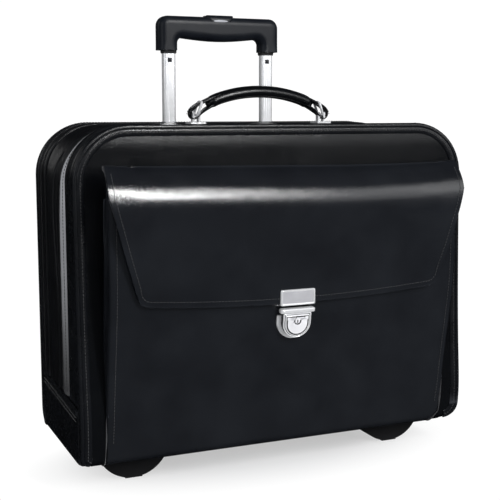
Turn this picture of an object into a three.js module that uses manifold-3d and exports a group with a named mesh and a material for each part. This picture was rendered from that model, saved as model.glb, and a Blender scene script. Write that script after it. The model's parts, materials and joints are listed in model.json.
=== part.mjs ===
// A rolling laptop case in leather: three sections round two zips, a front pocket with a locking
// flap, a carrying handle, a two-stage trolley handle, two rear wheels and two front feet.
//
// Millimetres, +Z up, +Y to the back. The origin is on the floor, in the middle of the footprint.
// Inside the case group, y = 0 is the front panel's top edge and z = 0 is the underside.
import * as THREE from 'three';
import Module from 'manifold-3d';
import { mergeVertices } from 'three/addons/utils/BufferGeometryUtils.js';

const wasm = await Module();
wasm.setup();

// ---- Driving dimensions ----

const CASE_HALF_WIDTH = 215;
const CASE_HEIGHT = 330;
const CASE_DEPTH = 165;
const CORNER_RADIUS = 55;
const FLOOR_GAP = 28.5;
const WALL = 3;
const FIT = 0.3;

// The case is split front to back by two zips.
const FRONT_SECTION_END = 34;
const MIDDLE_START = 42;
const MIDDLE_END = 118;
const BACK_START = 126;
const ZIP_RECESS = 4;
const TAPE_THICKNESS = 1.6;

// The rigid base: a board with a leather boot up each side.
const BASE_THICKNESS = 4;
const BASE_FRONT = 20;
const BOOT_TOP = 60;
const BOOT_THICKNESS = 3.8;
const BOOT_FRONT = 4;
const BOOT_CLEARANCE = 0.7;
const SECTION_BOTTOM = BASE_THICKNESS + 1;
// The sections turn about one line inside the front bottom edge.
const SECTION_HINGE_Z = 8;

// Front pocket and its flap.
const PANEL_THICKNESS = 3.6;
const POCKET_HALF_WIDTH = 190.5;
const FLAP_HALF_WIDTH = 193;
const FLAP_THICKNESS = 2.6;
const FLAP_BULGE = 47;
const FLAP_HINGE = { y: -26, z: 290 };
const FLAP_CORNER = { x: 152, z: 176, radius: 15 };
const FLAP_SIDE = { x: 188, low: 244, high: 262 };
const POCKET_WALL = 2.4;

// Inside the case.
const ORGANIZER = { halfWidth: 150, front: 5, back: 17, bottom: 60, top: 200, wall: 2.2 };
const DIVIDER = { front: 84, back: 87 };
const SLEEVE = { halfWidth: 188, front: 54, bottom: 9, top: 262, pad: 5, base: 4 };
const STRAP_HALF_WIDTH = 22;
const STRAP_THICKNESS = 2;
const PAPER_POCKET = { halfWidth: 170, depth: 11, bottom: 45, top: 230, wall: 2.5 };

// Trolley: three nested pairs of tubes.
const TUBE_X = 60;
const TUBE_Y = 172.6;
const OUTER_TUBE = { width: 22, depth: 14, bottom: 12.6, top: 326.3 };
const MIDDLE_TUBE = { width: 18.4, depth: 11.6, bottom: 24, top: 329.6 };
const TOP_TUBE = { width: 15, depth: 9, bottom: 112, top: 430 };
const TUBE_WALL = 1;
const TUBE_CORNER = 3;
const SLIDE_LENGTH = 10;
const STOP_HOLE = { half: 2.2, bottom: 398, top: 402.5 };
const TROLLEY_FOOT = { bottom: 6.5, top: 12.3 };
const COVER_HALF_WIDTH = 78;
const COVER_BOTTOM = 6;
const COVER_SIDE = 3;
const COVER_CORNER = 5;
const COVER_DEPTH = 16.6;
const COVER_WALL = 1.6;
const BEZEL_THICKNESS = 3.4;

// Trolley grip.
const GRIP = { halfWidth: 73, legWidth: 22, bottom: 411, top: 449, barUnderside: 425, belly: 2.5, depth: 20 };
const GRIP_BEVEL = 5;
const GRIP_SHOULDER = 11;
const GRIP_FILLET = 6;
const GRIP_CHANNEL = { halfWidth: 66, halfDepth: 4, top: 441.5 };
const BUTTON_WELL_BOTTOM = 436;
const BUTTON = { halfWidth: 16.5, depth: 10.4, bottom: 440.3, top: 451 };
const RELEASE_TRAVEL = 3.5;
const RELEASE_BAR = { halfWidth: 64, halfDepth: 3, height: 4 };
const RELEASE_ROD_RADIUS = 1.6;

// Rear wheels in moulded housings, and front feet.
const WHEEL_RADIUS = 28;
const WHEEL_WIDTH = 24;
const WHEEL_X = 162.5;
const WHEEL_Y = 152;
const HOUSING_RADIUS = 32.5;
const HOUSING_HALF_WIDTH = 18.5;
const HOUSING_WALL = 3;
const HOUSING_SKIRT = -10;
const HOUSING_GAP = 0.5;
const AXLE_RADIUS = 3;
const HUB = { bore: 3.4, boss: 8, webHalf: 4, rimInside: 17, rim: 21.1, recess: 1.5 };
const TYRE = { bore: 21.4, shoulder: 26, chamfer: 3, recess: 1 };
const FOOT = { x: 151, front: 30, back: 54, radius: 39.5, centreZ: 11, flat: 9 };

// Carrying handle on the middle section.
const HANDLE_Y = 54;
const HANDLE_PIVOT_Z = 339.5;
const RING_X = 72;
const RING = { halfWidth: 7.5, halfHeight: 8.5, bar: 2.6, corner: 3, lean: 0.36 };
const BRACKET = { halfWidth: 8, halfDepth: 9, plate: 2, cheek: 2, cheekX: 3.2, cheekHalfDepth: 3 };
const HANDLE_ROLL = { halfDepth: 7, halfHeight: 5.4 };

// Lock.
const LOCK = { halfWidth: 19, top: 150, bottom: 116, baseThickness: 2.2, bodyHalfWidth: 15.5, bodyFront: 9 };
const LOCK_BAR = { front: 10.6, height: 5 };
const LOCK_BUTTON = { back: 6.8, front: 10.2, inset: 2 };
const KEY = { z: -13, holeRadius: 3.5, plugRadius: 3.1, slotHalfWidth: 0.6, slotHalfHeight: 2 };
const FLAP_PLATE = { front: -41.9, back: -39.3, bottom: 152, top: 168 };

// Zip sliders, at rest on the right side.
const SLIDER = { bottom: 104, top: 116, halfWidth: 3.2, cheekX: 2.4, cheekHalf: 0.6 };
const PULL = { bottom: 80, top: 110.6, halfWidth: 1.4, thickness: 1.4 };

const FRONT_MOST = -FLAP_BULGE;
const BACK_MOST = WHEEL_Y + HOUSING_RADIUS;
const FOOTPRINT_CENTRE_Y = (FRONT_MOST + BACK_MOST) / 2;
const ARC_STEPS = 5;

// ---- Materials ----

function finish(color, roughness, metalness) {
  return new THREE.MeshStandardMaterial({ color, roughness, metalness });
}

const leather = finish(0x17191d, 0.28, 0);
const lining = finish(0x2b2c30, 0.9, 0);
const padding = finish(0x3a3b40, 0.85, 0);
const zipTape = finish(0x6d7076, 0.7, 0);
const zipMetal = finish(0xb9bbc0, 0.3, 1);
const aluminium = finish(0xd6d8dc, 0.25, 1);
const chrome = finish(0xdfe1e6, 0.12, 1);
const moulded = finish(0x1b1d22, 0.45, 0);
const darkPlastic = finish(0x2a2c31, 0.6, 0);
const silverPlastic = finish(0x8f939c, 0.3, 0.2);
const rubber = finish(0x141416, 0.85, 0);
const steel = finish(0x9a9ca0, 0.35, 1);

// ---- Geometry helpers ----

function solidOf(geometry) {
  const bare = geometry.clone();
  bare.deleteAttribute('normal');
  bare.deleteAttribute('uv');
  const merged = mergeVertices(bare, 1e-4);
  const vertProperties = new Float32Array(merged.attributes.position.array);
  const triVerts = new Uint32Array(merged.index.array);
  return new wasm.Manifold(new wasm.Mesh({ numProp: 3, vertProperties, triVerts }));
}

function geometryOf(solid) {
  const mesh = solid.getMesh();
  const geometry = new THREE.BufferGeometry();
  geometry.setAttribute('position', new THREE.BufferAttribute(mesh.vertProperties, 3));
  geometry.setIndex(new THREE.BufferAttribute(mesh.triVerts, 1));
  return geometry;
}

function cut(geometry, ...tools) {
  return geometryOf(tools.reduce((solid, tool) => solid.subtract(solidOf(tool)), solidOf(geometry)));
}

function join(geometry, ...others) {
  return geometryOf(others.reduce((solid, other) => solid.add(solidOf(other)), solidOf(geometry)));
}

function common(geometry, other) {
  return geometryOf(solidOf(geometry).intersect(solidOf(other)));
}

function block(x, y, z) {
  const geometry = new THREE.BoxGeometry(x[1] - x[0], y[1] - y[0], z[1] - z[0]);
  return geometry.translate((x[0] + x[1]) / 2, (y[0] + y[1]) / 2, (z[0] + z[1]) / 2);
}

// An XZ outline, extruded along Y.
function plateXZ(shape, y0, y1, curveSegments = ARC_STEPS) {
  const geometry = new THREE.ExtrudeGeometry(shape, { depth: y1 - y0, bevelEnabled: false, curveSegments });
  return geometry.rotateX(Math.PI / 2).translate(0, y1, 0);
}

// A YZ outline, extruded along X: the axes turn in a cycle, X from Z, Y from X and Z from Y.
const turnYZ = new THREE.Matrix4().set(0, 0, 1, 0, 1, 0, 0, 0, 0, 1, 0, 0, 0, 0, 0, 1);
function barYZ(shape, x0, x1, curveSegments = ARC_STEPS) {
  const geometry = new THREE.ExtrudeGeometry(shape, { depth: x1 - x0, bevelEnabled: false, curveSegments });
  return geometry.applyMatrix4(turnYZ).translate(x0, 0, 0);
}

// An XY outline, extruded along Z.
function columnXY(shape, z0, z1, curveSegments = ARC_STEPS) {
  const geometry = new THREE.ExtrudeGeometry(shape, { depth: z1 - z0, bevelEnabled: false, curveSegments });
  return geometry.translate(0, 0, z0);
}

function polygon(points) {
  return new THREE.Shape(points.map(([a, b]) => new THREE.Vector2(a, b)));
}

function smooth(points, divisions) {
  const curve = new THREE.SplineCurve(points.map(([a, b]) => new THREE.Vector2(a, b)));
  return curve.getPoints(divisions);
}

// The same line moved sideways, to the left of its direction of travel.
function offsetLine(line, distance) {
  return line.map((point, i) => {
    const before = line[Math.max(i - 1, 0)];
    const after = line[Math.min(i + 1, line.length - 1)];
    const direction = after.clone().sub(before).normalize();
    return new THREE.Vector2(point.x - direction.y * distance, point.y + direction.x * distance);
  });
}

// A strip of even thickness, to the left of a line.
function ribbon(line, thickness) {
  return new THREE.Shape([...line, ...offsetLine(line, thickness).reverse()]);
}

function roundedRect(halfX, halfY, radius, cx = 0, cy = 0) {
  const shape = new THREE.Shape();
  const right = cx + halfX - radius;
  const left = cx - halfX + radius;
  const top = cy + halfY - radius;
  const bottom = cy - halfY + radius;
  shape.absarc(right, top, radius, 0, Math.PI / 2);
  shape.absarc(left, top, radius, Math.PI / 2, Math.PI);
  shape.absarc(left, bottom, radius, Math.PI, 1.5 * Math.PI);
  shape.absarc(right, bottom, radius, 1.5 * Math.PI, 2 * Math.PI);
  return shape;
}

// The case's front view: straight sides and a straight top joined by round corners.
function archPath(path, inset, bottom) {
  const half = CASE_HALF_WIDTH - inset;
  const radius = CORNER_RADIUS - inset;
  const shoulder = CASE_HEIGHT - CORNER_RADIUS;
  path.moveTo(-half, bottom);
  path.lineTo(half, bottom);
  path.lineTo(half, shoulder);
  path.absarc(half - radius, shoulder, radius, 0, Math.PI / 2);
  path.absarc(radius - half, shoulder, radius, Math.PI / 2, Math.PI);
  path.lineTo(-half, bottom);
  return path;
}

function arch(inset, bottom) {
  return archPath(new THREE.Shape(), inset, bottom);
}

// A section's outline steps in below the top of the boots and stands between them.
function sectionOutline(bottom) {
  const half = CASE_HALF_WIDTH;
  const between = half - BOOT_THICKNESS - BOOT_CLEARANCE;
  const ledge = BOOT_TOP + FIT;
  const shoulder = CASE_HEIGHT - CORNER_RADIUS;
  const shape = new THREE.Shape();
  shape.moveTo(-between, bottom);
  shape.lineTo(between, bottom);
  shape.lineTo(between, ledge);
  shape.lineTo(half, ledge);
  shape.lineTo(half, shoulder);
  shape.absarc(half - CORNER_RADIUS, shoulder, CORNER_RADIUS, 0, Math.PI / 2);
  shape.absarc(CORNER_RADIUS - half, shoulder, CORNER_RADIUS, Math.PI / 2, Math.PI);
  shape.lineTo(-half, ledge);
  shape.lineTo(-between, ledge);
  return shape;
}

const SECTION_INSET = BOOT_THICKNESS + BOOT_CLEARANCE + WALL;

// A section's frame: top, sides and bottom, open at the front and the back.
function sectionFrame(y0, y1) {
  const shape = sectionOutline(SECTION_BOTTOM);
  shape.holes.push(archPath(new THREE.Path(), SECTION_INSET, SECTION_BOTTOM + WALL));
  return plateXZ(shape, y0, y1);
}

// A zip tape: a strip that follows the case's edge up one side, over the top and down the other.
function tape(y0, y1) {
  const strip = plateXZ(arch(ZIP_RECESS, BOOT_TOP + 1), y0, y1);
  return cut(strip, plateXZ(arch(ZIP_RECESS + TAPE_THICKNESS, 0), y0 - 1, y1 + 1));
}

function lathe(profile, steps) {
  return new THREE.LatheGeometry(profile.map(([r, h]) => new THREE.Vector2(r, h)), steps);
}

function rod(radius, length, steps) {
  return new THREE.CylinderGeometry(radius, radius, length, steps);
}

const tree = new THREE.Group();
const theCase = new THREE.Group();
theCase.position.set(0, -FOOTPRINT_CENTRE_Y, FLOOR_GAP);
tree.add(theCase);

function add(name, geometry, material, parent = theCase) {
  const mesh = new THREE.Mesh(geometry, material);
  mesh.name = name;
  parent.add(mesh);
  return mesh;
}

const SIDES = [['left', -1], ['right', 1]];

// ---- Base and back section ----

const housingSpan = [WHEEL_X - HOUSING_HALF_WIDTH - HOUSING_GAP, WHEEL_X + HOUSING_HALF_WIDTH + HOUSING_GAP];
function housingRecess(side) {
  const x = housingSpan.map((value) => value * side).sort((a, b) => a - b);
  return block(x, [WHEEL_Y - HOUSING_RADIUS - HOUSING_GAP, CASE_DEPTH + 1], [-1, HOUSING_RADIUS]);
}

function makeBase() {
  const halfWidth = CASE_HALF_WIDTH - BOOT_THICKNESS - FIT;
  const board = block([-halfWidth, halfWidth], [BASE_FRONT, CASE_DEPTH], [0, BASE_THICKNESS]);
  add('base_board', cut(board, housingRecess(-1), housingRecess(1)), moulded);
  for (const [name, side] of SIDES) {
    const x = [side * CASE_HALF_WIDTH, side * (CASE_HALF_WIDTH - BOOT_THICKNESS)].sort((a, b) => a - b);
    add(`base_boot_${name}`, block(x, [BOOT_FRONT, CASE_DEPTH], [0, BOOT_TOP]), leather);
  }
}

function makeBackSection() {
  const solid = plateXZ(sectionOutline(BASE_THICKNESS + FIT), BACK_START, CASE_DEPTH);
  const hollow = plateXZ(arch(SECTION_INSET, SECTION_BOTTOM + WALL), BACK_START - 1, CASE_DEPTH - WALL);
  add('back_shell', cut(solid, hollow, housingRecess(-1), housingRecess(1)), leather);
  add('rear_zip_tape_back', tape(BACK_START - 3.8, BACK_START - FIT), zipTape);
  const { halfWidth, depth, bottom, top, wall } = PAPER_POCKET;
  const back = CASE_DEPTH - WALL;
  const inner = halfWidth - wall;
  const pocket = block([-halfWidth, halfWidth], [back - depth, back - FIT], [bottom, top]);
  const inside = block([-inner, inner], [back - depth + wall, CASE_DEPTH], [bottom + wall, top + 10]);
  add('document_pocket', cut(pocket, inside), lining);
}

function makeWheels() {
  for (const [name, side] of SIDES) {
    const cx = side * WHEEL_X;
    const span = (half) => [cx - half, cx + half];
    const hood = new THREE.Shape();
    hood.moveTo(WHEEL_Y - HOUSING_RADIUS, HOUSING_SKIRT);
    hood.lineTo(WHEEL_Y + HOUSING_RADIUS, HOUSING_SKIRT);
    hood.absarc(WHEEL_Y, WHEEL_RADIUS - FLOOR_GAP, HOUSING_RADIUS - HOUSING_GAP, 0, Math.PI);
    const well = new THREE.Shape();
    const wellRadius = HOUSING_RADIUS - HOUSING_WALL;
    well.moveTo(WHEEL_Y - wellRadius, HOUSING_SKIRT - 1);
    well.lineTo(WHEEL_Y + wellRadius, HOUSING_SKIRT - 1);
    well.absarc(WHEEL_Y, WHEEL_RADIUS - FLOOR_GAP, wellRadius, 0, Math.PI);
    const hoodBar = barYZ(hood, ...span(HOUSING_HALF_WIDTH), 8);
    const wellBar = barYZ(well, ...span(HOUSING_HALF_WIDTH - HOUSING_WALL), 8);
    const axleHole = rod(AXLE_RADIUS + 0.4, 60, 16).rotateZ(Math.PI / 2);
    axleHole.translate(cx, WHEEL_Y, WHEEL_RADIUS - FLOOR_GAP);
    add(`wheel_housing_${name}`, cut(hoodBar, wellBar, axleHole), moulded);

    const half = WHEEL_WIDTH / 2;
    const wall = half - TYRE.recess;
    const tread = half - TYRE.chamfer;
    const tyre = lathe([[TYRE.bore, -wall], [TYRE.shoulder, -half], [WHEEL_RADIUS, -tread], [WHEEL_RADIUS, tread],
      [TYRE.shoulder, half], [TYRE.bore, wall], [TYRE.bore, -wall]], 32);
    const edge = half - HUB.recess;
    const hub = lathe([[HUB.bore, -half], [HUB.boss, -half], [HUB.boss, -HUB.webHalf], [HUB.rimInside, -HUB.webHalf],
      [HUB.rimInside, -edge], [HUB.rim, -edge], [HUB.rim, edge], [HUB.rimInside, edge], [HUB.rimInside, HUB.webHalf],
      [HUB.boss, HUB.webHalf], [HUB.boss, half], [HUB.bore, half], [HUB.bore, -half]], 24);
    for (const [kind, geometry, material] of [['tyre', tyre, rubber], ['hub', hub, silverPlastic]]) {
      const mesh = add(`wheel_${kind}_${name}`, geometry.rotateZ(Math.PI / 2), material);
      mesh.position.set(cx, WHEEL_Y, WHEEL_RADIUS - FLOOR_GAP);
    }
    const axle = add(`wheel_axle_${name}`, rod(AXLE_RADIUS, 2 * HOUSING_HALF_WIDTH - 0.4, 16), steel);
    axle.rotation.z = Math.PI / 2;
    axle.position.set(cx, WHEEL_Y, WHEEL_RADIUS - FLOOR_GAP);
  }
}

function makeFeet() {
  const rise = FOOT.centreZ + FIT;
  const lift = Math.asin(rise / FOOT.radius);
  const flatAngle = Math.asin(FOOT.flat / FOOT.radius);
  for (const [name, side] of SIDES) {
    const shape = new THREE.Shape();
    const cx = side * FOOT.x;
    shape.absarc(cx, FOOT.centreZ, FOOT.radius, Math.PI + lift, 1.5 * Math.PI - flatAngle);
    shape.lineTo(cx - FOOT.flat, -FLOOR_GAP);
    shape.lineTo(cx + FOOT.flat, -FLOOR_GAP);
    shape.absarc(cx, FOOT.centreZ, FOOT.radius, 1.5 * Math.PI + flatAngle, 2 * Math.PI - lift);
    add(`front_foot_${name}`, plateXZ(shape, FOOT.front, FOOT.back), darkPlastic);
  }
}

// ---- Trolley ----

function tube(sizes, cx) {
  const halfX = sizes.width / 2;
  const halfY = sizes.depth / 2;
  const bore = TUBE_CORNER - TUBE_WALL;
  const shape = roundedRect(halfX, halfY, TUBE_CORNER, cx, TUBE_Y);
  const inner = roundedRect(halfX - TUBE_WALL, halfY - TUBE_WALL, bore, cx, TUBE_Y);
  const outside = columnXY(shape, sizes.bottom, sizes.top, 2);
  return cut(outside, columnXY(inner, sizes.bottom - 1, sizes.top + 1, 2));
}

// A plastic slide that guides a tube's lower end inside the tube around it.
function slide(around, cx, tubeBottom) {
  const play = TUBE_WALL + 0.2;
  const shape = roundedRect(around.width / 2 - play, around.depth / 2 - play, TUBE_CORNER - TUBE_WALL, cx, TUBE_Y);
  return columnXY(shape, tubeBottom - SLIDE_LENGTH, tubeBottom - FIT, 2);
}

function makeTrolleyTrack() {
  const y = [CASE_DEPTH + FIT, CASE_DEPTH + COVER_DEPTH];
  const midY = (y[0] + y[1]) / 2;
  const halfY = (y[1] - y[0]) / 2;
  const top = CASE_HEIGHT - BEZEL_THICKNESS;
  // The cover is a channel, open towards the back panel, with its two outer corners rounded.
  const outline = roundedRect(COVER_HALF_WIDTH, halfY + COVER_CORNER, COVER_CORNER, 0, midY - COVER_CORNER);
  const full = columnXY(outline, COVER_BOTTOM, top - FIT);
  const innerX = COVER_HALF_WIDTH - COVER_SIDE;
  const inner = block([-innerX, innerX], [y[0] - 20, y[1] - COVER_WALL], [COVER_BOTTOM - 1, top + 1]);
  const front = block([-100, 100], [y[0] - 30, y[0]], [0, CASE_HEIGHT + 10]);
  add('trolley_cover', cut(full, inner, front), leather);
  let bezel = cut(columnXY(outline, top, CASE_HEIGHT), front);
  for (const [, side] of SIDES) {
    const w = MIDDLE_TUBE.width / 2 + 0.4;
    const d = MIDDLE_TUBE.depth / 2 + 0.4;
    const x = side * TUBE_X;
    bezel = cut(bezel, block([x - w, x + w], [TUBE_Y - d, TUBE_Y + d], [top - 1, CASE_HEIGHT + 1]));
  }
  add('trolley_bezel', bezel, moulded);
  const footHalf = TUBE_X + OUTER_TUBE.width / 2 + 2;
  const depth = OUTER_TUBE.depth / 2;
  const footZ = [TROLLEY_FOOT.bottom, TROLLEY_FOOT.top];
  add('trolley_foot', block([-footHalf, footHalf], [TUBE_Y - depth, TUBE_Y + depth], footZ), moulded);
  for (const [name, side] of SIDES) {
    const x = side * TUBE_X;
    add(`outer_tube_${name}`, tube(OUTER_TUBE, x), aluminium);
    add(`middle_tube_${name}`, tube(MIDDLE_TUBE, x), aluminium);
    add(`middle_slide_${name}`, slide(OUTER_TUBE, x, MIDDLE_TUBE.bottom), darkPlastic);
    let top = tube(TOP_TUBE, x);
    // Square stop holes in the front of each tube, just under the grip.
    const holeX = [x - STOP_HOLE.half, x + STOP_HOLE.half];
    top = cut(top, block(holeX, [TUBE_Y - 8, TUBE_Y], [STOP_HOLE.bottom, STOP_HOLE.top]));
    add(`top_tube_${name}`, top, aluminium);
    add(`top_slide_${name}`, slide(MIDDLE_TUBE, x, TOP_TUBE.bottom), darkPlastic);
  }
}

function makeGrip() {
  const outer = GRIP.halfWidth;
  const innerX = GRIP.halfWidth - GRIP.legWidth;
  const below = GRIP.bottom - 20;
  const shape = new THREE.Shape();
  shape.moveTo(-outer, below);
  shape.lineTo(-innerX, below);
  const fillet = GRIP_FILLET;
  const filletZ = GRIP.barUnderside - fillet;
  shape.lineTo(-innerX, filletZ);
  shape.absarc(fillet - innerX, filletZ, fillet, Math.PI, Math.PI / 2, true);
  shape.lineTo(-innerX / 2, GRIP.barUnderside - GRIP.belly);
  shape.lineTo(innerX / 2, GRIP.barUnderside - GRIP.belly);
  shape.absarc(innerX - fillet, filletZ, fillet, Math.PI / 2, 0, true);
  shape.lineTo(innerX, below);
  shape.lineTo(outer, below);
  shape.absarc(outer - GRIP_SHOULDER, GRIP.top - GRIP_SHOULDER, GRIP_SHOULDER, 0, Math.PI / 2);
  shape.absarc(GRIP_SHOULDER - outer, GRIP.top - GRIP_SHOULDER, GRIP_SHOULDER, Math.PI / 2, Math.PI);
  const body = new THREE.ExtrudeGeometry(shape, {
    depth: GRIP.depth - 2 * GRIP_BEVEL, curveSegments: 3, bevelEnabled: true,
    bevelThickness: GRIP_BEVEL, bevelSize: GRIP_BEVEL, bevelOffset: -GRIP_BEVEL, bevelSegments: 2,
  });
  body.rotateX(Math.PI / 2).translate(0, TUBE_Y + GRIP.depth / 2 - GRIP_BEVEL, 0);
  const channelFloor = TOP_TUBE.top + 0.6;
  const tools = [
    block([-100, 100], [TUBE_Y - 20, TUBE_Y + 20], [0, GRIP.bottom]),
    block([-GRIP_CHANNEL.halfWidth, GRIP_CHANNEL.halfWidth],
      [TUBE_Y - GRIP_CHANNEL.halfDepth, TUBE_Y + GRIP_CHANNEL.halfDepth], [channelFloor, GRIP_CHANNEL.top]),
    block([-BUTTON.halfWidth - 0.4, BUTTON.halfWidth + 0.4],
      [TUBE_Y - BUTTON.depth / 2 - 0.4, TUBE_Y + BUTTON.depth / 2 + 0.4], [BUTTON_WELL_BOTTOM, GRIP.top + 5]),
  ];
  for (const [, side] of SIDES) {
    const x = side * TUBE_X;
    const w = TOP_TUBE.width / 2 + 0.3;
    const d = TOP_TUBE.depth / 2 + 0.3;
    tools.push(block([x - w, x + w], [TUBE_Y - d, TUBE_Y + d], [GRIP.bottom - 5, channelFloor + 0.2]));
  }
  add('grip', cut(body, ...tools), moulded);

  const half = BUTTON.halfWidth;
  const press = columnXY(roundedRect(half, BUTTON.depth / 2, 2.5, 0, TUBE_Y), BUTTON.bottom, BUTTON.top, 3);
  add('release_button', press, moulded);
  const barTop = BUTTON.bottom - FIT;
  const barBottom = barTop - RELEASE_BAR.height;
  const barY = [TUBE_Y - RELEASE_BAR.halfDepth, TUBE_Y + RELEASE_BAR.halfDepth];
  add('release_bar', block([-RELEASE_BAR.halfWidth, RELEASE_BAR.halfWidth], barY, [barBottom, barTop]), darkPlastic);
  for (const [name, side] of SIDES) {
    const bottom = TOP_TUBE.bottom + RELEASE_TRAVEL + 1;
    const rodLength = barBottom - FIT - bottom;
    const wire = rod(RELEASE_ROD_RADIUS, rodLength, 10).rotateX(Math.PI / 2);
    wire.translate(side * TUBE_X, TUBE_Y, bottom + rodLength / 2);
    add(`release_rod_${name}`, wire, steel);
  }
}

// ---- Middle section ----

function makeMiddleSection() {
  add('middle_frame', sectionFrame(MIDDLE_START, MIDDLE_END), leather);
  add('front_zip_tape_middle', tape(MIDDLE_START - 3.8, MIDDLE_START - FIT), zipTape);
  add('rear_zip_tape_middle', tape(MIDDLE_END + FIT, MIDDLE_END + 3.8), zipTape);
  add('divider', plateXZ(arch(SECTION_INSET + 1, SECTION_BOTTOM + WALL + FIT), DIVIDER.front, DIVIDER.back), lining);
  const { halfWidth, front, bottom, top, pad, base } = SLEEVE;
  const inner = halfWidth - pad;
  const sleeve = block([-halfWidth, halfWidth], [front, DIVIDER.front - FIT], [bottom, top]);
  const room = block([-inner, inner], [front + pad - 0.5, DIVIDER.back + 3], [bottom + base, top + 8]);
  add('laptop_sleeve', cut(sleeve, room), padding);
  // The strap runs from the divider over the sleeve's mouth and down its front.
  const strapLine = [[83.6, 296], [80, 290], [70, 270], [60, 264.6], [53.6, 263], [51.4, 259], [51.4, 225]];
  const strap = ribbon(smooth(strapLine, 14), -STRAP_THICKNESS);
  add('sleeve_strap', barYZ(strap, -STRAP_HALF_WIDTH, STRAP_HALF_WIDTH), lining);
}

function makeHandle() {
  for (const [name, side] of SIDES) {
    const cx = side * RING_X;
    const footX = [cx - BRACKET.halfWidth, cx + BRACKET.halfWidth];
    const footY = [HANDLE_Y - BRACKET.halfDepth, HANDLE_Y + BRACKET.halfDepth];
    const foot = block(footX, footY, [CASE_HEIGHT + FIT, CASE_HEIGHT + FIT + BRACKET.plate]);
    const cheekY = [HANDLE_Y - BRACKET.cheekHalfDepth, HANDLE_Y + BRACKET.cheekHalfDepth];
    const cheekZ = [CASE_HEIGHT + 1, HANDLE_PIVOT_Z + 2.5];
    const cheek = (x) => block([x - BRACKET.cheek / 2, x + BRACKET.cheek / 2], cheekY, cheekZ);
    add(`handle_bracket_${name}`, join(foot, cheek(cx - BRACKET.cheekX), cheek(cx + BRACKET.cheekX)), chrome);
    // The ring leans towards the middle of the handle and turns about its lower bar.
    const centre = RING.halfHeight - RING.bar / 2 - 0.2;
    const loop = roundedRect(RING.halfWidth, RING.halfHeight, RING.corner, 0, centre);
    loop.holes.push(roundedRect(RING.halfWidth - RING.bar, RING.halfHeight - RING.bar, 1.8, 0, centre));
    const ring = barYZ(loop, -RING.bar / 2, RING.bar / 2, 3).rotateY(side * -RING.lean);
    add(`handle_ring_${name}`, ring.translate(cx, HANDLE_Y, HANDLE_PIVOT_Z), chrome);
  }
  const points = [[-61, 349], [-48, 355.6], [-25, 361.6], [0, 363.6], [25, 361.6], [48, 355.6], [61, 349]];
  const path = new THREE.CatmullRomCurve3(points.map(([x, z]) => new THREE.Vector3(x, HANDLE_Y, z)));
  const section = new THREE.Shape().absellipse(0, 0, HANDLE_ROLL.halfDepth, HANDLE_ROLL.halfHeight, 0, 2 * Math.PI);
  const roll = new THREE.ExtrudeGeometry(section, { steps: 14, extrudePath: path, curveSegments: 6 });
  add('carry_handle', roll, leather);
}

// ---- Front section ----

// Outside of the front panel, from its top edge down and round under the case.
const panelLine = smooth([[0, CASE_HEIGHT], [-1, 250], [-4, 150], [-7, 95], [-11, 46], [-7, 19], [4, 2.4],
  [17, 0]], 26);

function makeFrontSection() {
  const strip = barYZ(ribbon(panelLine, PANEL_THICKNESS), -CASE_HALF_WIDTH, CASE_HALF_WIDTH);
  const outline = plateXZ(arch(0, -1), -60, 60);
  const tuck = CASE_HALF_WIDTH - BOOT_THICKNESS - FIT;
  // The panel's lower corners are cut back, so that it turns clear of the boots.
  const corners = [];
  for (const [, side] of SIDES) {
    const x = [side * tuck, side * 230].sort((a, b) => a - b);
    corners.push(block(x, [BOOT_FRONT - 1, 60], [-5, 70]));
    corners.push(block(x, [-20, 60], [-5, SECTION_HINGE_Z]));
  }
  add('front_panel', cut(common(strip, outline), ...corners), leather);

  const behind = offsetLine(panelLine, PANEL_THICKNESS + FIT);
  const ahead = new THREE.Shape([...behind, new THREE.Vector2(-80, -2), new THREE.Vector2(-80, CASE_HEIGHT)]);
  const frame = sectionFrame(-20, FRONT_SECTION_END);
  const lip = block([-230, 230], [-80, BOOT_FRONT], [CASE_HEIGHT - 1, CASE_HEIGHT + 20]);
  add('front_frame', cut(frame, barYZ(ahead, -230, 230), lip), leather);
  add('front_zip_tape_front', tape(FRONT_SECTION_END + FIT, FRONT_SECTION_END + 3.8), zipTape);

  const { halfWidth, front, back, bottom, top, wall } = ORGANIZER;
  const inner = halfWidth - wall;
  const pouch = block([-halfWidth, halfWidth], [front, back], [bottom, top]);
  const room = block([-inner, inner], [front - 5, back - wall], [bottom + wall, top + 10]);
  add('organizer_pocket', cut(pouch, room), lining);
}

const pocketFront = smooth([[-12.6, 30], [-18, 70], [-28.5, 130], [-33.4, 165], [-38.6, 235], [-39.8, 262]], 16);

function makePocket() {
  const outline = new THREE.Shape([...pocketFront, ...[[-24.8, 282], [-22.4, 282], [-6.2, 122], [-8.2, 95],
    [-12.2, 52], [-10.6, 30]].map(([y, z]) => new THREE.Vector2(y, z))]);
  const inside = polygon([[-15.6, 70], [-26.1, 130], [-31, 165], [-36.2, 235], [-37.4, 262], [-37.4, 300],
    [-24.8, 300], [-24.8, 282], [-8.8, 122], [-10.8, 95], [-13.2, 70]]);
  const bag = barYZ(outline, -POCKET_HALF_WIDTH, POCKET_HALF_WIDTH);
  const hollow = barYZ(inside, POCKET_WALL - POCKET_HALF_WIDTH, POCKET_HALF_WIDTH - POCKET_WALL);
  add('front_pocket', cut(bag, hollow), leather);
}

// Outside of the flap, from its fold over the pocket's mouth down to its lower edge.
const flapLine = smooth([[FLAP_HINGE.y - 1, FLAP_HINGE.z + 2.4], [-37, 281], [-44.4, 270], [-FLAP_BULGE, 259],
  [-44.4, 238], [-40.6, 200], [-38, 150]], 24);

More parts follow.
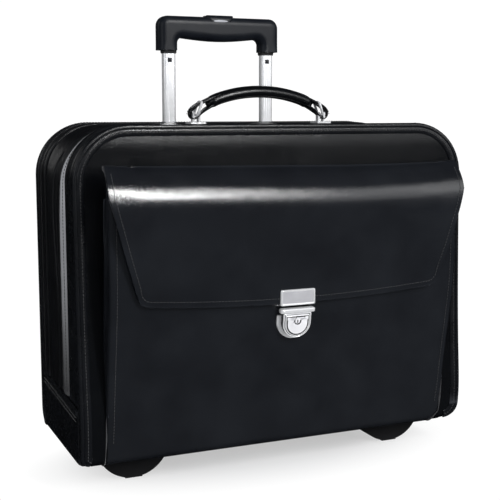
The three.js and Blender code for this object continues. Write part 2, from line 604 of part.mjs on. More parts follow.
function flapOutline() {
  const shape = new THREE.Shape();
  const { x, z, radius } = FLAP_CORNER;
  shape.moveTo(-FLAP_HALF_WIDTH, 300);
  shape.lineTo(-FLAP_HALF_WIDTH, FLAP_SIDE.high);
  shape.lineTo(-FLAP_SIDE.x, FLAP_SIDE.low);
  shape.absarc(-x, z, radius, Math.PI - 0.25, 1.5 * Math.PI);
  shape.quadraticCurveTo(0, z - radius - 13, x, z - radius);
  shape.absarc(x, z, radius, 1.5 * Math.PI, 2 * Math.PI + 0.25);
  shape.lineTo(FLAP_SIDE.x, FLAP_SIDE.low);
  shape.lineTo(FLAP_HALF_WIDTH, FLAP_SIDE.high);
  shape.lineTo(FLAP_HALF_WIDTH, 300);
  return shape;
}

function makeFlap() {
  const sheet = barYZ(ribbon(flapLine, FLAP_THICKNESS), -FLAP_HALF_WIDTH - 1, FLAP_HALF_WIDTH + 1);
  add('flap', common(sheet, plateXZ(flapOutline(), -80, 0)), leather);
}

// ---- Lock ----

// A D on its side: straight along the top and round below, drawn from the lock's top edge.
function dShape(halfWidth, top, bottom) {
  const shape = new THREE.Shape();
  const straight = bottom + halfWidth;
  shape.moveTo(halfWidth, top);
  shape.lineTo(-halfWidth, top);
  shape.absarc(0, straight, halfWidth, Math.PI, 2 * Math.PI);
  return shape;
}

function makeLock() {
  const lean = Math.atan((33.4 - 28.5) / (165 - 130));
  const lock = new THREE.Group();
  lock.position.set(0, -32.4, LOCK.top);
  lock.rotation.x = lean;
  theCase.add(lock);
  // In the lock's own frame y = 0 is the pocket's front and -y is outwards.
  const height = LOCK.top - LOCK.bottom;
  const slab = (shape, inner, outer) => plateXZ(shape, -outer, -inner, 7);
  add('lock_base', slab(dShape(LOCK.halfWidth, -1, -height), 0, LOCK.baseThickness), chrome, lock);
  const half = LOCK.bodyHalfWidth;
  const bodyBack = LOCK.baseThickness + FIT;
  const body = slab(dShape(half, -2, 3 - height), bodyBack, LOCK.bodyFront);
  const well = slab(dShape(half - 1.6, -6, 4.6 - height), 4.6, LOCK.bodyFront + 3);
  const bar = block([-LOCK.halfWidth, LOCK.halfWidth], [-LOCK_BAR.front, -bodyBack], [-LOCK_BAR.height, 0]);
  add('lock_body', cut(join(body, bar), well), chrome, lock);
  const keyHole = rod(KEY.holeRadius, 20, 16).translate(0, -8, KEY.z);
  const press = dShape(half - LOCK_BUTTON.inset, -6.4, 5 - height);
  add('lock_button', cut(slab(press, LOCK_BUTTON.back, LOCK_BUTTON.front), keyHole), chrome, lock);
  const plug = rod(KEY.plugRadius, 3.8, 16).translate(0, -8.9, KEY.z);
  const slotZ = [KEY.z - KEY.slotHalfHeight, KEY.z + KEY.slotHalfHeight];
  const keyway = block([-KEY.slotHalfWidth, KEY.slotHalfWidth], [-12, -9.4], slotZ);
  add('key_cylinder', cut(plug, keyway), steel, lock);
  const plateX = [-LOCK.halfWidth, LOCK.halfWidth];
  add('flap_plate', block(plateX, [FLAP_PLATE.front, FLAP_PLATE.back], [FLAP_PLATE.bottom, FLAP_PLATE.top]), chrome);
}

// ---- Zip sliders ----

function makeSlider(name, y) {
  const x = CASE_HALF_WIDTH - ZIP_RECESS;
  const base = block([x + FIT, x + 2], [y - SLIDER.halfWidth, y + SLIDER.halfWidth], [SLIDER.bottom, SLIDER.top]);
  const cheek = (cy) => block([x + 1, x + 3.8], [cy - SLIDER.cheekHalf, cy + SLIDER.cheekHalf],
    [SLIDER.bottom + 4, SLIDER.top - 4]);
  add(`${name}_zip_slider`, join(base, cheek(y - SLIDER.cheekX), cheek(y + SLIDER.cheekX)), zipMetal);
  const pullX = [x + 2.5, x + 2.5 + PULL.thickness];
  add(`${name}_zip_pull`, block(pullX, [y - PULL.halfWidth, y + PULL.halfWidth], [PULL.bottom, PULL.top]), zipMetal);
}

makeBase();
makeBackSection();
makeWheels();
makeFeet();
makeTrolleyTrack();
makeGrip();
makeMiddleSection();
makeHandle();
makeFrontSection();
makePocket();
makeFlap();
makeLock();
makeSlider('front', (FRONT_SECTION_END + MIDDLE_START) / 2);
makeSlider('rear', (MIDDLE_END + BACK_START) / 2);

export default tree;
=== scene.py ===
"""The looks of a rolling laptop case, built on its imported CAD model."""

import json
import math

import bmesh
import bpy
import numpy as np
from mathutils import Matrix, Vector


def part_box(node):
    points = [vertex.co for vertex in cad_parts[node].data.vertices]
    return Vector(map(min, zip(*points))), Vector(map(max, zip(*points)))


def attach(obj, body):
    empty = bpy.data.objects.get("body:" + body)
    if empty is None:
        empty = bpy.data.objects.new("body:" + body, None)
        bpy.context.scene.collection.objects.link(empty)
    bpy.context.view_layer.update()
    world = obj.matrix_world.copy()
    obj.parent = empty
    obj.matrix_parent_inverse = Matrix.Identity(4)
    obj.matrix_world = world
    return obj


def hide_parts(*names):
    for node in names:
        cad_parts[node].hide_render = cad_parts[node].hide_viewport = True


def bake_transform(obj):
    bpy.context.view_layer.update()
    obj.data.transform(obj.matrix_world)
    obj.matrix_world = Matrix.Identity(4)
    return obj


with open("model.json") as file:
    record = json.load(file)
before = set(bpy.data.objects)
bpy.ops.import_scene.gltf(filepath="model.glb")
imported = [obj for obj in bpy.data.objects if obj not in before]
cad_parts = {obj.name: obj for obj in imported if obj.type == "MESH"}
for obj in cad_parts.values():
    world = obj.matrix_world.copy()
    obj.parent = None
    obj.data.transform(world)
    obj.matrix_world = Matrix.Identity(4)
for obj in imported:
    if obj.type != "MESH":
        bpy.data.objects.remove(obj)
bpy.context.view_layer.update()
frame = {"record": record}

# ---- The case's own coordinates ----
# Millimetres. x runs to the right, y back from the front panel's top edge, z up from the underside.
HALF_WIDTH = 215.0
HEIGHT = 330.0
CORNER = 55.0
SHOULDER = HEIGHT - CORNER
BOOT_STEP = 4.5
DEPTH = 165.0
LINING_INSET = 7.5
HANDLE_Y = 54.0
LEG_FOOT = 411.0
TUBE_X, TUBE_Y = 60.0, 172.6
SIDES = (("left", -1), ("right", 1))
BACK_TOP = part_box("back_shell")[1]
ORIGIN = (0, BACK_TOP.y - DEPTH / 1000, BACK_TOP.z - HEIGHT / 1000)


def place(points):
    """Case millimetres to frame metres."""
    return np.asarray(points, float).reshape(-1, 3) / 1000 + ORIGIN


def unit(vectors):
    length = np.linalg.norm(vectors, axis=-1, keepdims=True)
    return vectors / np.maximum(length, 1e-9)


def smoothstep(low, high, value):
    t = np.clip((np.asarray(value, float) - low) / (high - low), 0, 1)
    return t * t * (3 - 2 * t)


# ---- Materials ----


def node(tree, kind, inputs=None, **settings):
    """A shader node, with each input either linked to a socket or set to a value."""
    made = tree.nodes.new(kind)
    for key, value in settings.items():
        setattr(made, key, value)
    for key, value in (inputs or {}).items():
        if isinstance(value, bpy.types.NodeSocket):
            tree.links.new(value, made.inputs[key])
        else:
            made.inputs[key].default_value = value
    return made


def combine(tree, first, second, how="MULTIPLY"):
    return node(tree, "ShaderNodeMath", {0: first, 1: second}, operation=how).outputs[0]


def eased(tree, value, start, end, low=0.0, high=1.0):
    """Goes smoothly from low to high while the value goes from start to end."""
    inputs = {"Value": value, "From Min": start, "From Max": end, "To Min": low, "To Max": high}
    return node(tree, "ShaderNodeMapRange", inputs, interpolation_type="SMOOTHSTEP").outputs[0]


def ramp(tree, factor, *stops):
    made = node(tree, "ShaderNodeValToRGB", {"Fac": factor})
    elements = made.color_ramp.elements
    while len(elements) < len(stops):
        elements.new(0.5)
    for element, (position, value) in zip(elements, stops):
        element.position = position
        colour = value if isinstance(value, tuple) else (value, value, value)
        element.color = (*colour, 1)
    return made.outputs["Color"]


def material(name, **sockets):
    made = bpy.data.materials.new(name)
    made.use_nodes = True
    tree = made.node_tree
    shader = tree.nodes["Principled BSDF"]
    for key, value in sockets.items():
        shader.inputs[key.replace("_", " ")].default_value = value
    return made, tree, shader


def coordinates(tree, scale=(1, 1, 1)):
    position = node(tree, "ShaderNodeTexCoord").outputs["Object"]
    mapping = node(tree, "ShaderNodeMapping", {"Vector": position, "Scale": scale})
    return mapping.outputs["Vector"]


def noise(tree, vector, scale, detail=3.0, roughness=0.5):
    inputs = {"Vector": vector, "Scale": scale, "Detail": detail, "Roughness": roughness}
    return node(tree, "ShaderNodeTexNoise", inputs).outputs["Fac"]


def bump(tree, height, distance, strength=1.0, under=None):
    inputs = {"Height": height, "Distance": distance, "Strength": strength}
    if under is not None:
        inputs["Normal"] = under
    return node(tree, "ShaderNodeBump", inputs).outputs["Normal"]


def wire(tree, shader, **sockets):
    for key, value in sockets.items():
        tree.links.new(value, shader.inputs[key.replace("_", " ")])


def leather(name, dark, light, rough, grain=620.0, depth=0.00004, coat=0.3, gloss=0.5, painted_reflection=None):
    """Finished leather: a cell grain, slow waves in the hide, and edges rubbed a little lighter.

    One with a painted reflection is light grey high on the left side only, a painted reflection of light on
    that fold.
    It darkens to black between its two heights and across the top towards the right.
    """
    made, tree, shader = material(name, Coat_Weight=coat, Coat_Roughness=0.12, Specular_IOR_Level=gloss)
    at = coordinates(tree)
    hide = ramp(tree, noise(tree, at, 22.0, 4.0), (0.3, dark), (0.75, light))
    rubbed = ramp(tree, node(tree, "ShaderNodeNewGeometry").outputs["Pointiness"], (0.55, 0.0), (0.66, 1.0))
    worn = tuple(min(channel * 3.0 + 0.01, 1) for channel in light)
    colour = node(tree, "ShaderNodeMix", {0: rubbed, 6: hide, 7: (*worn, 1)}, data_type="RGBA").outputs[2]
    cells = node(tree, "ShaderNodeTexVoronoi", {"Vector": at, "Scale": grain}, feature="DISTANCE_TO_EDGE")
    slow = bump(tree, noise(tree, at, 26.0, 2.0), 0.00035)
    grained = bump(tree, ramp(tree, cells.outputs["Distance"], (0.0, 0.0), (0.25, 1.0)), depth, under=slow)
    fine = bump(tree, noise(tree, at, grain * 2.3, 2.0), depth * 0.6, under=grained)
    smear = ramp(tree, noise(tree, at, 60.0, 5.0, 0.6), (0.3, rough), (0.8, rough + 0.1))
    # Painted reflection: the light colour is kept high on the left side and darkened lower down and
    # elsewhere.
    if painted_reflection:
        spot = node(tree, "ShaderNodeSeparateXYZ", {"Vector": at}).outputs
        left_side = eased(tree, spot["X"], -0.208, -0.175, 1.0, 0.03)
        share = combine(tree, eased(tree, spot["Z"], *painted_reflection, 0.12), left_side)
        colour = node(tree, "ShaderNodeVectorMath", {0: colour, "Scale": share}, operation="SCALE").outputs[0]
    wire(tree, shader, Base_Color=colour, Roughness=smear, Normal=fine)
    return made


def woven(name, dark, light, threads, depth, rough=0.85, sheen=0.25):
    """Plain weave: threads one way and the other, with a little fuzz."""
    made, tree, shader = material(name, Sheen_Weight=sheen, Sheen_Roughness=0.5)
    at = coordinates(tree)
    slub = noise(tree, at, 180.0, 4.0)
    waves = []
    for direction in ("X", "Y", "Z"):
        inputs = {"Vector": at, "Scale": threads, "Distortion": 0.6, "Detail": 1.0}
        waves.append(node(tree, "ShaderNodeTexWave", inputs, bands_direction=direction).outputs["Fac"])
    weave = combine(tree, combine(tree, waves[0], waves[1]), waves[2], "ADD")
    both = combine(tree, weave, slub)
    colour = ramp(tree, both, (0.1, dark), (0.9, light))
    rub = ramp(tree, slub, (0.3, rough), (0.7, min(rough + 0.1, 1)))
    wire(tree, shader, Base_Color=colour, Roughness=rub, Normal=bump(tree, both, depth))
    return made


def moulded(name, dark, light, rough, depth, gloss=0.5):
    """Injection-moulded plastic: a fine spark texture and handling marks."""
    made, tree, shader = material(name, Specular_IOR_Level=gloss)
    at = coordinates(tree)
    spark = noise(tree, at, 2600.0, 2.0)
    marks = noise(tree, at, 45.0, 5.0, 0.65)
    colour = ramp(tree, marks, (0.35, dark), (0.75, light))
    rub = ramp(tree, marks, (0.3, rough), (0.75, rough + 0.12))
    soft = bump(tree, noise(tree, at, 40.0, 2.0), 0.0001)
    wire(tree, shader, Base_Color=colour, Roughness=rub, Normal=bump(tree, spark, depth, under=soft))
    return made


def metal(name, dark, light, rough, brushed=(1, 1, 1), depth=0.00001, spread=0.1, metallic=1.0):
    """Metal with fine marks, drawn out along the direction of polishing, under a fine haze.

    Plating seen through that haze is given a metallic share below one.
    """
    made, tree, shader = material(name, Metallic=metallic)
    marks = noise(tree, coordinates(tree, brushed), 900.0, 3.0)
    haze = noise(tree, coordinates(tree), 70.0, 4.0, 0.6)
    colour = ramp(tree, haze, (0.3, dark), (0.7, light))
    rub = ramp(tree, marks, (0.3, rough), (0.75, rough + spread))
    wire(tree, shader, Base_Color=colour, Roughness=rub, Normal=bump(tree, marks, depth))
    return made


# Each finish has its dark and light colours, then how rough it is.
black_leather = leather("black_leather", (0.0052, 0.0059, 0.0078), (0.0088, 0.01, 0.0126), 0.115)
panel_leather = leather("panel_leather", (0.0012, 0.0014, 0.002), (0.0024, 0.0028, 0.0036), 0.15,
                        coat=0.08, gloss=0.28)
edge_leather = leather("edge_leather", (0.002, 0.0023, 0.0032), (0.0048, 0.0054, 0.007), 0.22,
                       640.0, 0.00005, 0.12, 0.32)
gusset_leather = leather("gusset_leather", (0.0018, 0.002, 0.0028), (0.0048, 0.0052, 0.0066), 0.28,
                         560.0, 0.00008, 0.15, 0.36)
# The band's light grey is a painted reflection, kept only high on the left side.
band_painted_reflection_leather = leather("band_painted_reflection_leather", (0.32, 0.325, 0.35), (0.52, 0.525, 0.55), 0.34,
                       560.0, 0.00006, 0.15, painted_reflection=(0.08, 0.3))
handle_leather = leather("handle_leather", (0.0014, 0.0016, 0.0022), (0.0028, 0.0032, 0.0042), 0.2,
                         coat=0.05, gloss=0.3)
thread = woven("thread", (0.004, 0.004, 0.006), (0.018, 0.019, 0.022), 900.0, 0.00008, 0.55, 0.3)
lining_cloth = woven("lining_cloth", (0.012, 0.012, 0.014), (0.045, 0.045, 0.052), 420.0, 0.00012)
pad_cloth = woven("pad_cloth", (0.02, 0.02, 0.023), (0.07, 0.07, 0.078), 260.0, 0.0002, 0.8, 0.4)
tape_cloth = woven("tape_cloth", (0.03, 0.031, 0.035), (0.1, 0.103, 0.112), 500.0, 0.00012, 0.6)
zip_nickel = metal("zip_nickel", (0.42, 0.42, 0.44), (0.6, 0.6, 0.62), 0.24)
chrome = metal("chrome", (0.84, 0.85, 0.87), (0.94, 0.94, 0.96), 0.1, (1, 0.3, 1), 0.000003, 0.06, 0.5)
satin_chrome = metal("satin_chrome", (0.5, 0.5, 0.53), (0.57, 0.57, 0.6), 0.3,
                     (0.15, 1, 1), 0.000006, 0.08, 0.42)
nickel_face = metal("nickel_face", (0.74, 0.74, 0.77), (0.82, 0.82, 0.85), 0.36,
                    (1, 1, 1), 0.000004, 0.06, 0.22)
aluminium = metal("aluminium", (0.82, 0.83, 0.85), (0.93, 0.93, 0.95), 0.2, (1, 1, 0.02), 0.000008, 0.1, 0.55)
# Near-black steel for the lock's gaps, grooves and keyway: painted shade.
painted_shade_steel = metal("painted_shade_steel", (0.006, 0.006, 0.007), (0.014, 0.014, 0.016), 0.5, metallic=0.2)
steel = metal("steel", (0.4, 0.4, 0.41), (0.55, 0.55, 0.56), 0.28)
grip_plastic = moulded("grip_plastic", (0.004, 0.005, 0.008), (0.008, 0.01, 0.014), 0.3, 0.00003, 0.22)
dark_plastic = moulded("dark_plastic", (0.013, 0.013, 0.014), (0.022, 0.022, 0.024), 0.45, 0.00004)
foot_plastic = moulded("foot_plastic", (0.003, 0.003, 0.004), (0.006, 0.006, 0.0075), 0.6, 0.00005, 0.25)
hub_plastic = moulded("hub_plastic", (0.2, 0.21, 0.23), (0.28, 0.29, 0.31), 0.35, 0.00002)
# Pale plastic for the oval on the release button: a painted highlight.
painted_highlight_plastic = moulded("painted_highlight_plastic", (0.3, 0.31, 0.34), (0.42, 0.43, 0.46), 0.4, 0.00002)
rubber = moulded("rubber", (0.008, 0.008, 0.0085), (0.016, 0.016, 0.017), 0.75, 0.00008)

# The finishes of each material slot. The first one also goes on the CAD nodes that still show.
FINISHES = {
    "black_leather": (black_leather, panel_leather, edge_leather, gusset_leather, handle_leather, thread),
    "lining_fabric": (lining_cloth,),
    "foam_padding": (pad_cloth,),
    "zip_tape": (tape_cloth,),
    "zip_metal": (zip_nickel,),
    "tube_aluminium": (aluminium,),
    "polished_chrome": (chrome, nickel_face),
    "grip_plastic": (grip_plastic, painted_highlight_plastic),
    "dark_plastic": (dark_plastic,),
    "hub_plastic": (hub_plastic,),
    "tyre_rubber": (rubber,),
    "steel": (steel,),
}

# ---- Mesh building ----
# A part is (points, faces, kinds): a face's kind is the place of its material in the piece's list.


def piece(name, body, parts, materials, hides=(), angle=35):
    """One object made of parts. It rides on its body, if any, and hides the CAD nodes it stands for."""
    points, faces, kinds, start = [], [], [], 0
    for part_points, part_faces, part_kinds in parts:
        points.append(place(part_points))
        faces.extend([tuple(corner + start for corner in face) for face in part_faces])
        kinds.extend(part_kinds)
        start += len(points[-1])
    mesh = bpy.data.meshes.new(name)
    mesh.from_pydata(np.concatenate(points).tolist(), [], faces)
    for finish in materials:
        mesh.materials.append(finish)
    mesh.polygons.foreach_set("material_index", kinds)
    bm = bmesh.new()
    bm.from_mesh(mesh)
    bmesh.ops.recalc_face_normals(bm, faces=bm.faces)
    bm.to_mesh(mesh)
    bm.free()
    mesh.shade_smooth()
    mesh.set_sharp_from_angle(angle=math.radians(angle))
    made = bpy.data.objects.new(name, mesh)
    bpy.context.scene.collection.objects.link(made)
    if body:
        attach(made, body)
    if hides:
        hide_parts(*hides)
    return made


def loft(rings, closed=False, kinds=None, bands=None, end=0):
    """A skin over rings of points. Open ones are capped at both ends.

    Kinds give each face's material round a ring, and bands give it along the rings. End is the last cap's.
    """
    rings = np.asarray(rings, float)
    count, size = rings.shape[:2]
    kinds, bands = kinds or [0] * size, bands or [0] * count
    faces, made = [], []
    for i in range(count if closed else count - 1):
        k = (i + 1) % count
        for j in range(size):
            m = (j + 1) % size
            faces.append((i * size + j, k * size + j, k * size + m, i * size + m))
            made.append(kinds[j] + bands[i])
    if not closed:
        faces.append(tuple(range(size)))
        faces.append(tuple(range((count - 1) * size, count * size)))
        made += [0, end]
    return rings.reshape(-1, 3), faces, made


def sheet(grid, thickness, out, edge=0.45, inner_kind=0):
    """A sheet with rounded edges, from the grid of points on its outer side."""
    grid = np.asarray(grid, float)
    rows, columns = grid.shape[:2]
    along, across = np.gradient(grid, axis=0), np.gradient(grid, axis=1)
    normal = unit(np.cross(along, across))
    if normal[rows // 2, columns // 2] @ np.array(out, float) < 0:
        normal = -normal
    inner = grid - normal * thickness
    border = [(0, j) for j in range(columns)]
    border += [(i, columns - 1) for i in range(1, rows)]
    border += [(rows - 1, j) for j in range(columns - 2, -1, -1)]
    border += [(i, 0) for i in range(rows - 2, 0, -1)]
    middle = []
    for i, j in border:
        push = np.zeros(3)
        if i in (0, rows - 1):
            push += unit(along[i, j]) * (1 if i else -1)
        if j in (0, columns - 1):
            push += unit(across[i, j]) * (1 if j else -1)
        middle.append((grid[i, j] + inner[i, j]) / 2 + unit(push) * edge * thickness)
    size = rows * columns
    faces, kinds = [], []
    for i in range(rows - 1):
        for j in range(columns - 1):
            a = i * columns + j
            quad = (a, a + 1, a + columns + 1, a + columns)
            faces.append(quad)
            kinds.append(0)
            faces.append(tuple(size + corner for corner in reversed(quad)))
            kinds.append(inner_kind)
    for k, (i, j) in enumerate(border):
        n = (k + 1) % len(border)
        a, b = i * columns + j, border[n][0] * columns + border[n][1]
        faces.append((a, b, 2 * size + n, 2 * size + k))
        faces.append((size + a, size + b, 2 * size + n, 2 * size + k))
        kinds += [0, inner_kind]
    return np.concatenate([grid.reshape(-1, 3), inner.reshape(-1, 3), middle]), faces, kinds


def spline(control, count=200):
    """A Catmull-Rom line through control points."""
    control = np.asarray(control, float)
    last = len(control) - 1
    line = []
    for t in np.linspace(0, last, count):
        i = min(int(t), last - 1)
        w = t - i
        p0, p1, p2, p3 = control[max(i - 1, 0)], control[i], control[i + 1], control[min(i + 2, last)]
        v0, v1 = (p2 - p0) / 2, (p3 - p1) / 2
        line.append((2 * p1 - 2 * p2 + v0 + v1) * w**3 + (3 * p2 - 3 * p1 - 2 * v0 - v1) * w**2 + v0 * w + p1)
    return np.array(line)


def lengths(line):
    return np.concatenate([[0], np.cumsum(np.linalg.norm(np.diff(line, axis=0), axis=1))])


def at_length(line, where):
    """Points at given distances along a line."""
    run = lengths(line)
    return np.stack([np.interp(where, run, line[:, axis]) for axis in range(line.shape[1])], axis=1)


def even(line, count):
    return at_length(line, np.linspace(0, lengths(line)[-1], count))


def arc(centre, radius, start, end, steps):
    """Points round a circle, from one angle in degrees to another."""
    angles = np.radians(np.linspace(start, end, steps))
    return [(centre[0] + radius * math.cos(a), centre[1] + radius * math.sin(a)) for a in angles]


def mirror(points):
    """The points' mirror images in x, last one first, so that they run on from the last point."""
    return [(-x, other) for x, other in reversed(points)]


def upright(outline, y):
    """An XZ outline as a ring of points at one y."""
    x, z = np.asarray(outline, float).T
    return np.stack([x, np.full(len(x), float(y)), z], axis=1)


def level(outline, z):
    """An XY outline as a ring of points at one height."""
    x, y = np.asarray(outline, float).T
    return np.stack([x, y, np.full(len(x), float(z))], axis=1)


def rounded(half_a, half_b, radius, steps=4):
    """A rounded rectangle's outline, anticlockwise."""
    outline = []
    for quarter, (a, b) in enumerate(((1, 1), (-1, 1), (-1, -1), (1, -1))):
        centre = (a * (half_a - radius), b * (half_b - radius))
        outline += arc(centre, radius, quarter * 90, quarter * 90 + 90, steps + 1)
    return np.array(outline)


def inset(outline, distance):
    """A closed anticlockwise outline moved inwards."""
    before, after = np.roll(outline, 1, axis=0), np.roll(outline, -1, axis=0)
    along = unit(unit(outline - before) + unit(after - outline))
    return outline + np.stack([-along[:, 1], along[:, 0]], axis=1) * distance


def stepped(rows, **looks):
    """A loft through XZ outlines, each moved inwards by its distance and stood at its y."""
    return loft([upright(inset(outline, distance), y) for outline, distance, y in rows], **looks)


def slab(outline, inner, outer, bevel, steps=3):
    """An XZ outline as a plate from y = inner out to y = outer, with its outer edge rounded."""
    way = 1 if outer > inner else -1
    rows = [(outline, 0.0, inner)]
    for angle in np.linspace(0, math.pi / 2, steps + 1):
        rows.append((outline, bevel * (1 - math.cos(angle)), outer - way * bevel * (1 - math.sin(angle))))
    return stepped(rows)


def sweep(path, section, up, scale=None, closed=False):
    """A section of (sideways, up) points carried along a 3-D path. up is one vector or one for each point."""
    path = np.asarray(path, float)
    ahead = np.roll(path, -1, axis=0) - np.roll(path, 1, axis=0) if closed else np.gradient(path, axis=0)
    ahead = unit(ahead)
    up = np.broadcast_to(np.asarray(up, float), path.shape)
    side = unit(np.cross(ahead, up))
    top = np.cross(side, ahead)
    section = np.asarray(section, float)
    grow = np.ones(len(path)) if scale is None else np.asarray(scale, float)
    rings = [p + np.outer(section[:, 0] * g, s) + np.outer(section[:, 1] * g, t)
             for p, s, t, g in zip(path, side, top, grow)]
    return loft(rings, closed)


def circle(radius, steps=12):
    angles = np.arange(steps) / steps * 2 * math.pi
    return np.stack([np.cos(angles), np.sin(angles)], axis=1) * radius


def turned(profile, centre, axis=(1, 0, 0), steps=48):
    """A closed (radius, height) profile turned round an axis."""
    axis = unit(np.array(axis, float))
    a = unit(np.cross(axis, (0.3, 0.5, 0.8)))
    b = np.cross(axis, a)
    rings = []
    for step in range(steps):
        angle = step / steps * 2 * math.pi
        radial = a * math.cos(angle) + b * math.sin(angle)
        rings.append([np.array(centre) + radial * r + axis * h for r, h in profile])
    return loft(rings, closed=True)


def scatter(points, faces, origins, axes):
    """Copies of a small shape. axes holds three vectors for each copy."""
    points = np.asarray(points, float)
    made = origins[:, None, :] + np.einsum("pk,nkc->npc", points, axes)
    starts = np.arange(len(origins)) * len(points)
    all_faces = [tuple(corner + int(start) for corner in face) for start in starts for face in faces]
    return made.reshape(-1, 3), all_faces, [0] * len(all_faces)


def stitch_shape():
    rings = []
    sections = ((-1, 0.45, -0.5), (-0.7, 0.85, 0.05), (0, 1, 0.35), (0.7, 0.85, 0.05), (1, 0.45, -0.5))
    for along, size, lift in sections:
        rings.append([(along, across, lift + up) for across, up in circle(size, 6)])
    points, faces, _ = loft(rings)
    return points, faces


STITCH = stitch_shape()


def stitches(line, normals, pitch=3.3, length=2.5, width=0.8):
    """A row of thread stitches along a line on a surface."""
    line, normals = np.asarray(line, float), np.asarray(normals, float)
    run = lengths(line)
    where = np.arange(pitch / 2, run[-1], pitch)
    origin = at_length(line, where)
    ahead = unit(at_length(line, where + 0.3) - at_length(line, where - 0.3))
    up = unit(np.stack([np.interp(where, run, normals[:, axis]) for axis in range(3)], axis=1))
    side = unit(np.cross(up, ahead))
    axes = np.stack([ahead * length / 2, side * width / 2, up * width / 2], axis=1)
    return scatter(*STITCH, origin, axes)


def ripple(x, z, size=0.3):
    """The slow unevenness of leather over a board, in millimetres."""
    broad = np.sin(x / 33 + z / 47) + 0.8 * np.sin(x / 57 - z / 31 + 1.3)
    return size * (broad + 0.4 * np.sin(x / 19 + z / 23 + 2.1)) / 2


# ---- The case's outline seen from the front ----


def arch(inset_by, bottom, straight=26, corner=16, across=30):
    """Points, outward normals and corner weight along the sides and top, from the left to the right."""
    half, radius = HALF_WIDTH - inset_by, CORNER - inset_by
    turn = arc((0, 0), 1.0, 180, 90, corner)[1:]
    points = [(-half, z) for z in np.linspace(bottom, SHOULDER, straight)]
    points += [(radius - half + radius * x, SHOULDER + radius * z) for x, z in turn]
    points += [(x, SHOULDER + radius) for x in np.linspace(radius - half, 0, across)[1:]]
    normals = [(-1.0, 0.0)] * straight + turn + [(0.0, 1.0)] * (across - 1)
    points, normals = (np.array(side + mirror(side[:-1])) for side in (points, normals))
    diagonal = half - radius * (1 - math.sqrt(0.5))
    middle = np.array([diagonal, SHOULDER + radius * math.sqrt(0.5)])
    away = np.linalg.norm(np.abs(points * (1, 0)) + points * (0, 1) - middle, axis=1)
    return points, normals, np.exp(-((away / 42) ** 2))


def arch_rings(profile_at, inset_by=0.0, bottom=61.0):
    """Rings of a profile of (outwards, y) points carried round the outline."""
    rings = []
    for point, normal, weight in zip(*arch(inset_by, bottom)):
        profile = np.asarray(profile_at(point, weight), float)
        out = point + profile[:, :1] * normal
        rings.append(np.stack([out[:, 0], profile[:, 1], out[:, 1]], axis=1))
    return np.array(rings)


def tray(y0_at, y1, thickness=3.0, radius=3.0):
    """The part of a section that stands between the boots: two low sides and a floor."""
    half = HALF_WIDTH - BOOT_STEP
    path = [(-half, z) for z in np.linspace(60.4, 5 + radius, 8)]
    path += arc((radius - half, 5 + radius), radius, 180, 270, 5)[1:]
    path = np.array(path + mirror(path))
    along = unit(np.gradient(path, axis=0))
    outwards = np.stack([along[:, 1], -along[:, 0]], axis=1)
    rings = []
    for point, out in zip(path, outwards):
        y0 = y0_at(point[1])
        outside = [(-0.6, y0), (0, y0 + 0.6), (0, y1 - 0.6), (-0.6, y1)]
        inside = -thickness
        lining = [(inside + 0.4, y1), (inside, y1 - 0.4), (inside, y0 + 0.4), (inside + 0.4, y0)]
        profile = np.array(outside + lining)
        spot = point + profile[:, :1] * out
        rings.append(np.stack([spot[:, 0], profile[:, 1], spot[:, 1]], axis=1))
    return loft(rings, kinds=[0, 0, 0, 0, 1, 1, 1, 0])


# ---- Front panel ----

PANEL_LINE = even(spline([(0, 330), (-1, 250), (-4, 150), (-7, 95), (-10.6, 46), (-9.8, 20), (-5.6, 5),
                          (2.4, -0.8), (12, -1.0)]), 400)
PANEL_RUN = lengths(PANEL_LINE)
PANEL_END = HEIGHT - PANEL_RUN[-1]
PANEL_TANGENT = unit(np.gradient(PANEL_LINE, axis=0))


def panel_at(t):
    """The panel line's (y, z) and outward normal. t is the height along the leather, HEIGHT at the top."""
    run = HEIGHT - np.asarray(t, float)
    spot = np.stack([np.interp(run, PANEL_RUN, PANEL_LINE[:, k]) for k in (0, 1)], axis=-1)
    tangent = np.stack([np.interp(run, PANEL_RUN, PANEL_TANGENT[:, k]) for k in (0, 1)], axis=-1)
    over = np.maximum(-run, 0)
    spot = spot - tangent * over[..., None]
    return spot, np.stack([tangent[..., 1], -tangent[..., 0]], axis=-1)


def on_panel(x, t, lift):
    """A point of the front panel, lifted off its leather line."""
    spot, normal = panel_at(t)
    spot = spot + normal * np.asarray(lift, float)[..., None]
    return np.stack([np.broadcast_to(x, spot.shape[:-1]), spot[..., 0], spot[..., 1]], axis=-1)


def panel_y(z):
    order = np.argsort(PANEL_LINE[:250, 1])
    return np.interp(z, PANEL_LINE[:250, 1][order], PANEL_LINE[:250, 0][order])


def half_at(t):
    """Half the panel's width at a height."""
    above = np.clip(np.asarray(t, float) - SHOULDER, 0, CORNER)
    return HALF_WIDTH - CORNER + np.sqrt(CORNER**2 - above**2)


# Radii of the panel's lower corners, left and right.
LOWER_CORNERS = (11.5, 19.0)


def corner_cut(t, radius):
    """How far a rounded lower corner pulls in the panel's edge."""
    below = np.clip(radius - np.asarray(t, float), 0, radius)
    return radius - np.sqrt(radius**2 - below**2)


def panel_lift(x, t):
    """Leather over padding: it swells gently and leans back under the top binding."""
    swell = 1.1 * np.cos(np.clip(x / 230, -1, 1) * math.pi / 2) * np.sin(np.clip(t / HEIGHT, 0, 1) * math.pi)
    return swell - 1.45 * smoothstep(306, 330, t) ** 1.3 + ripple(x, t, 0.22)


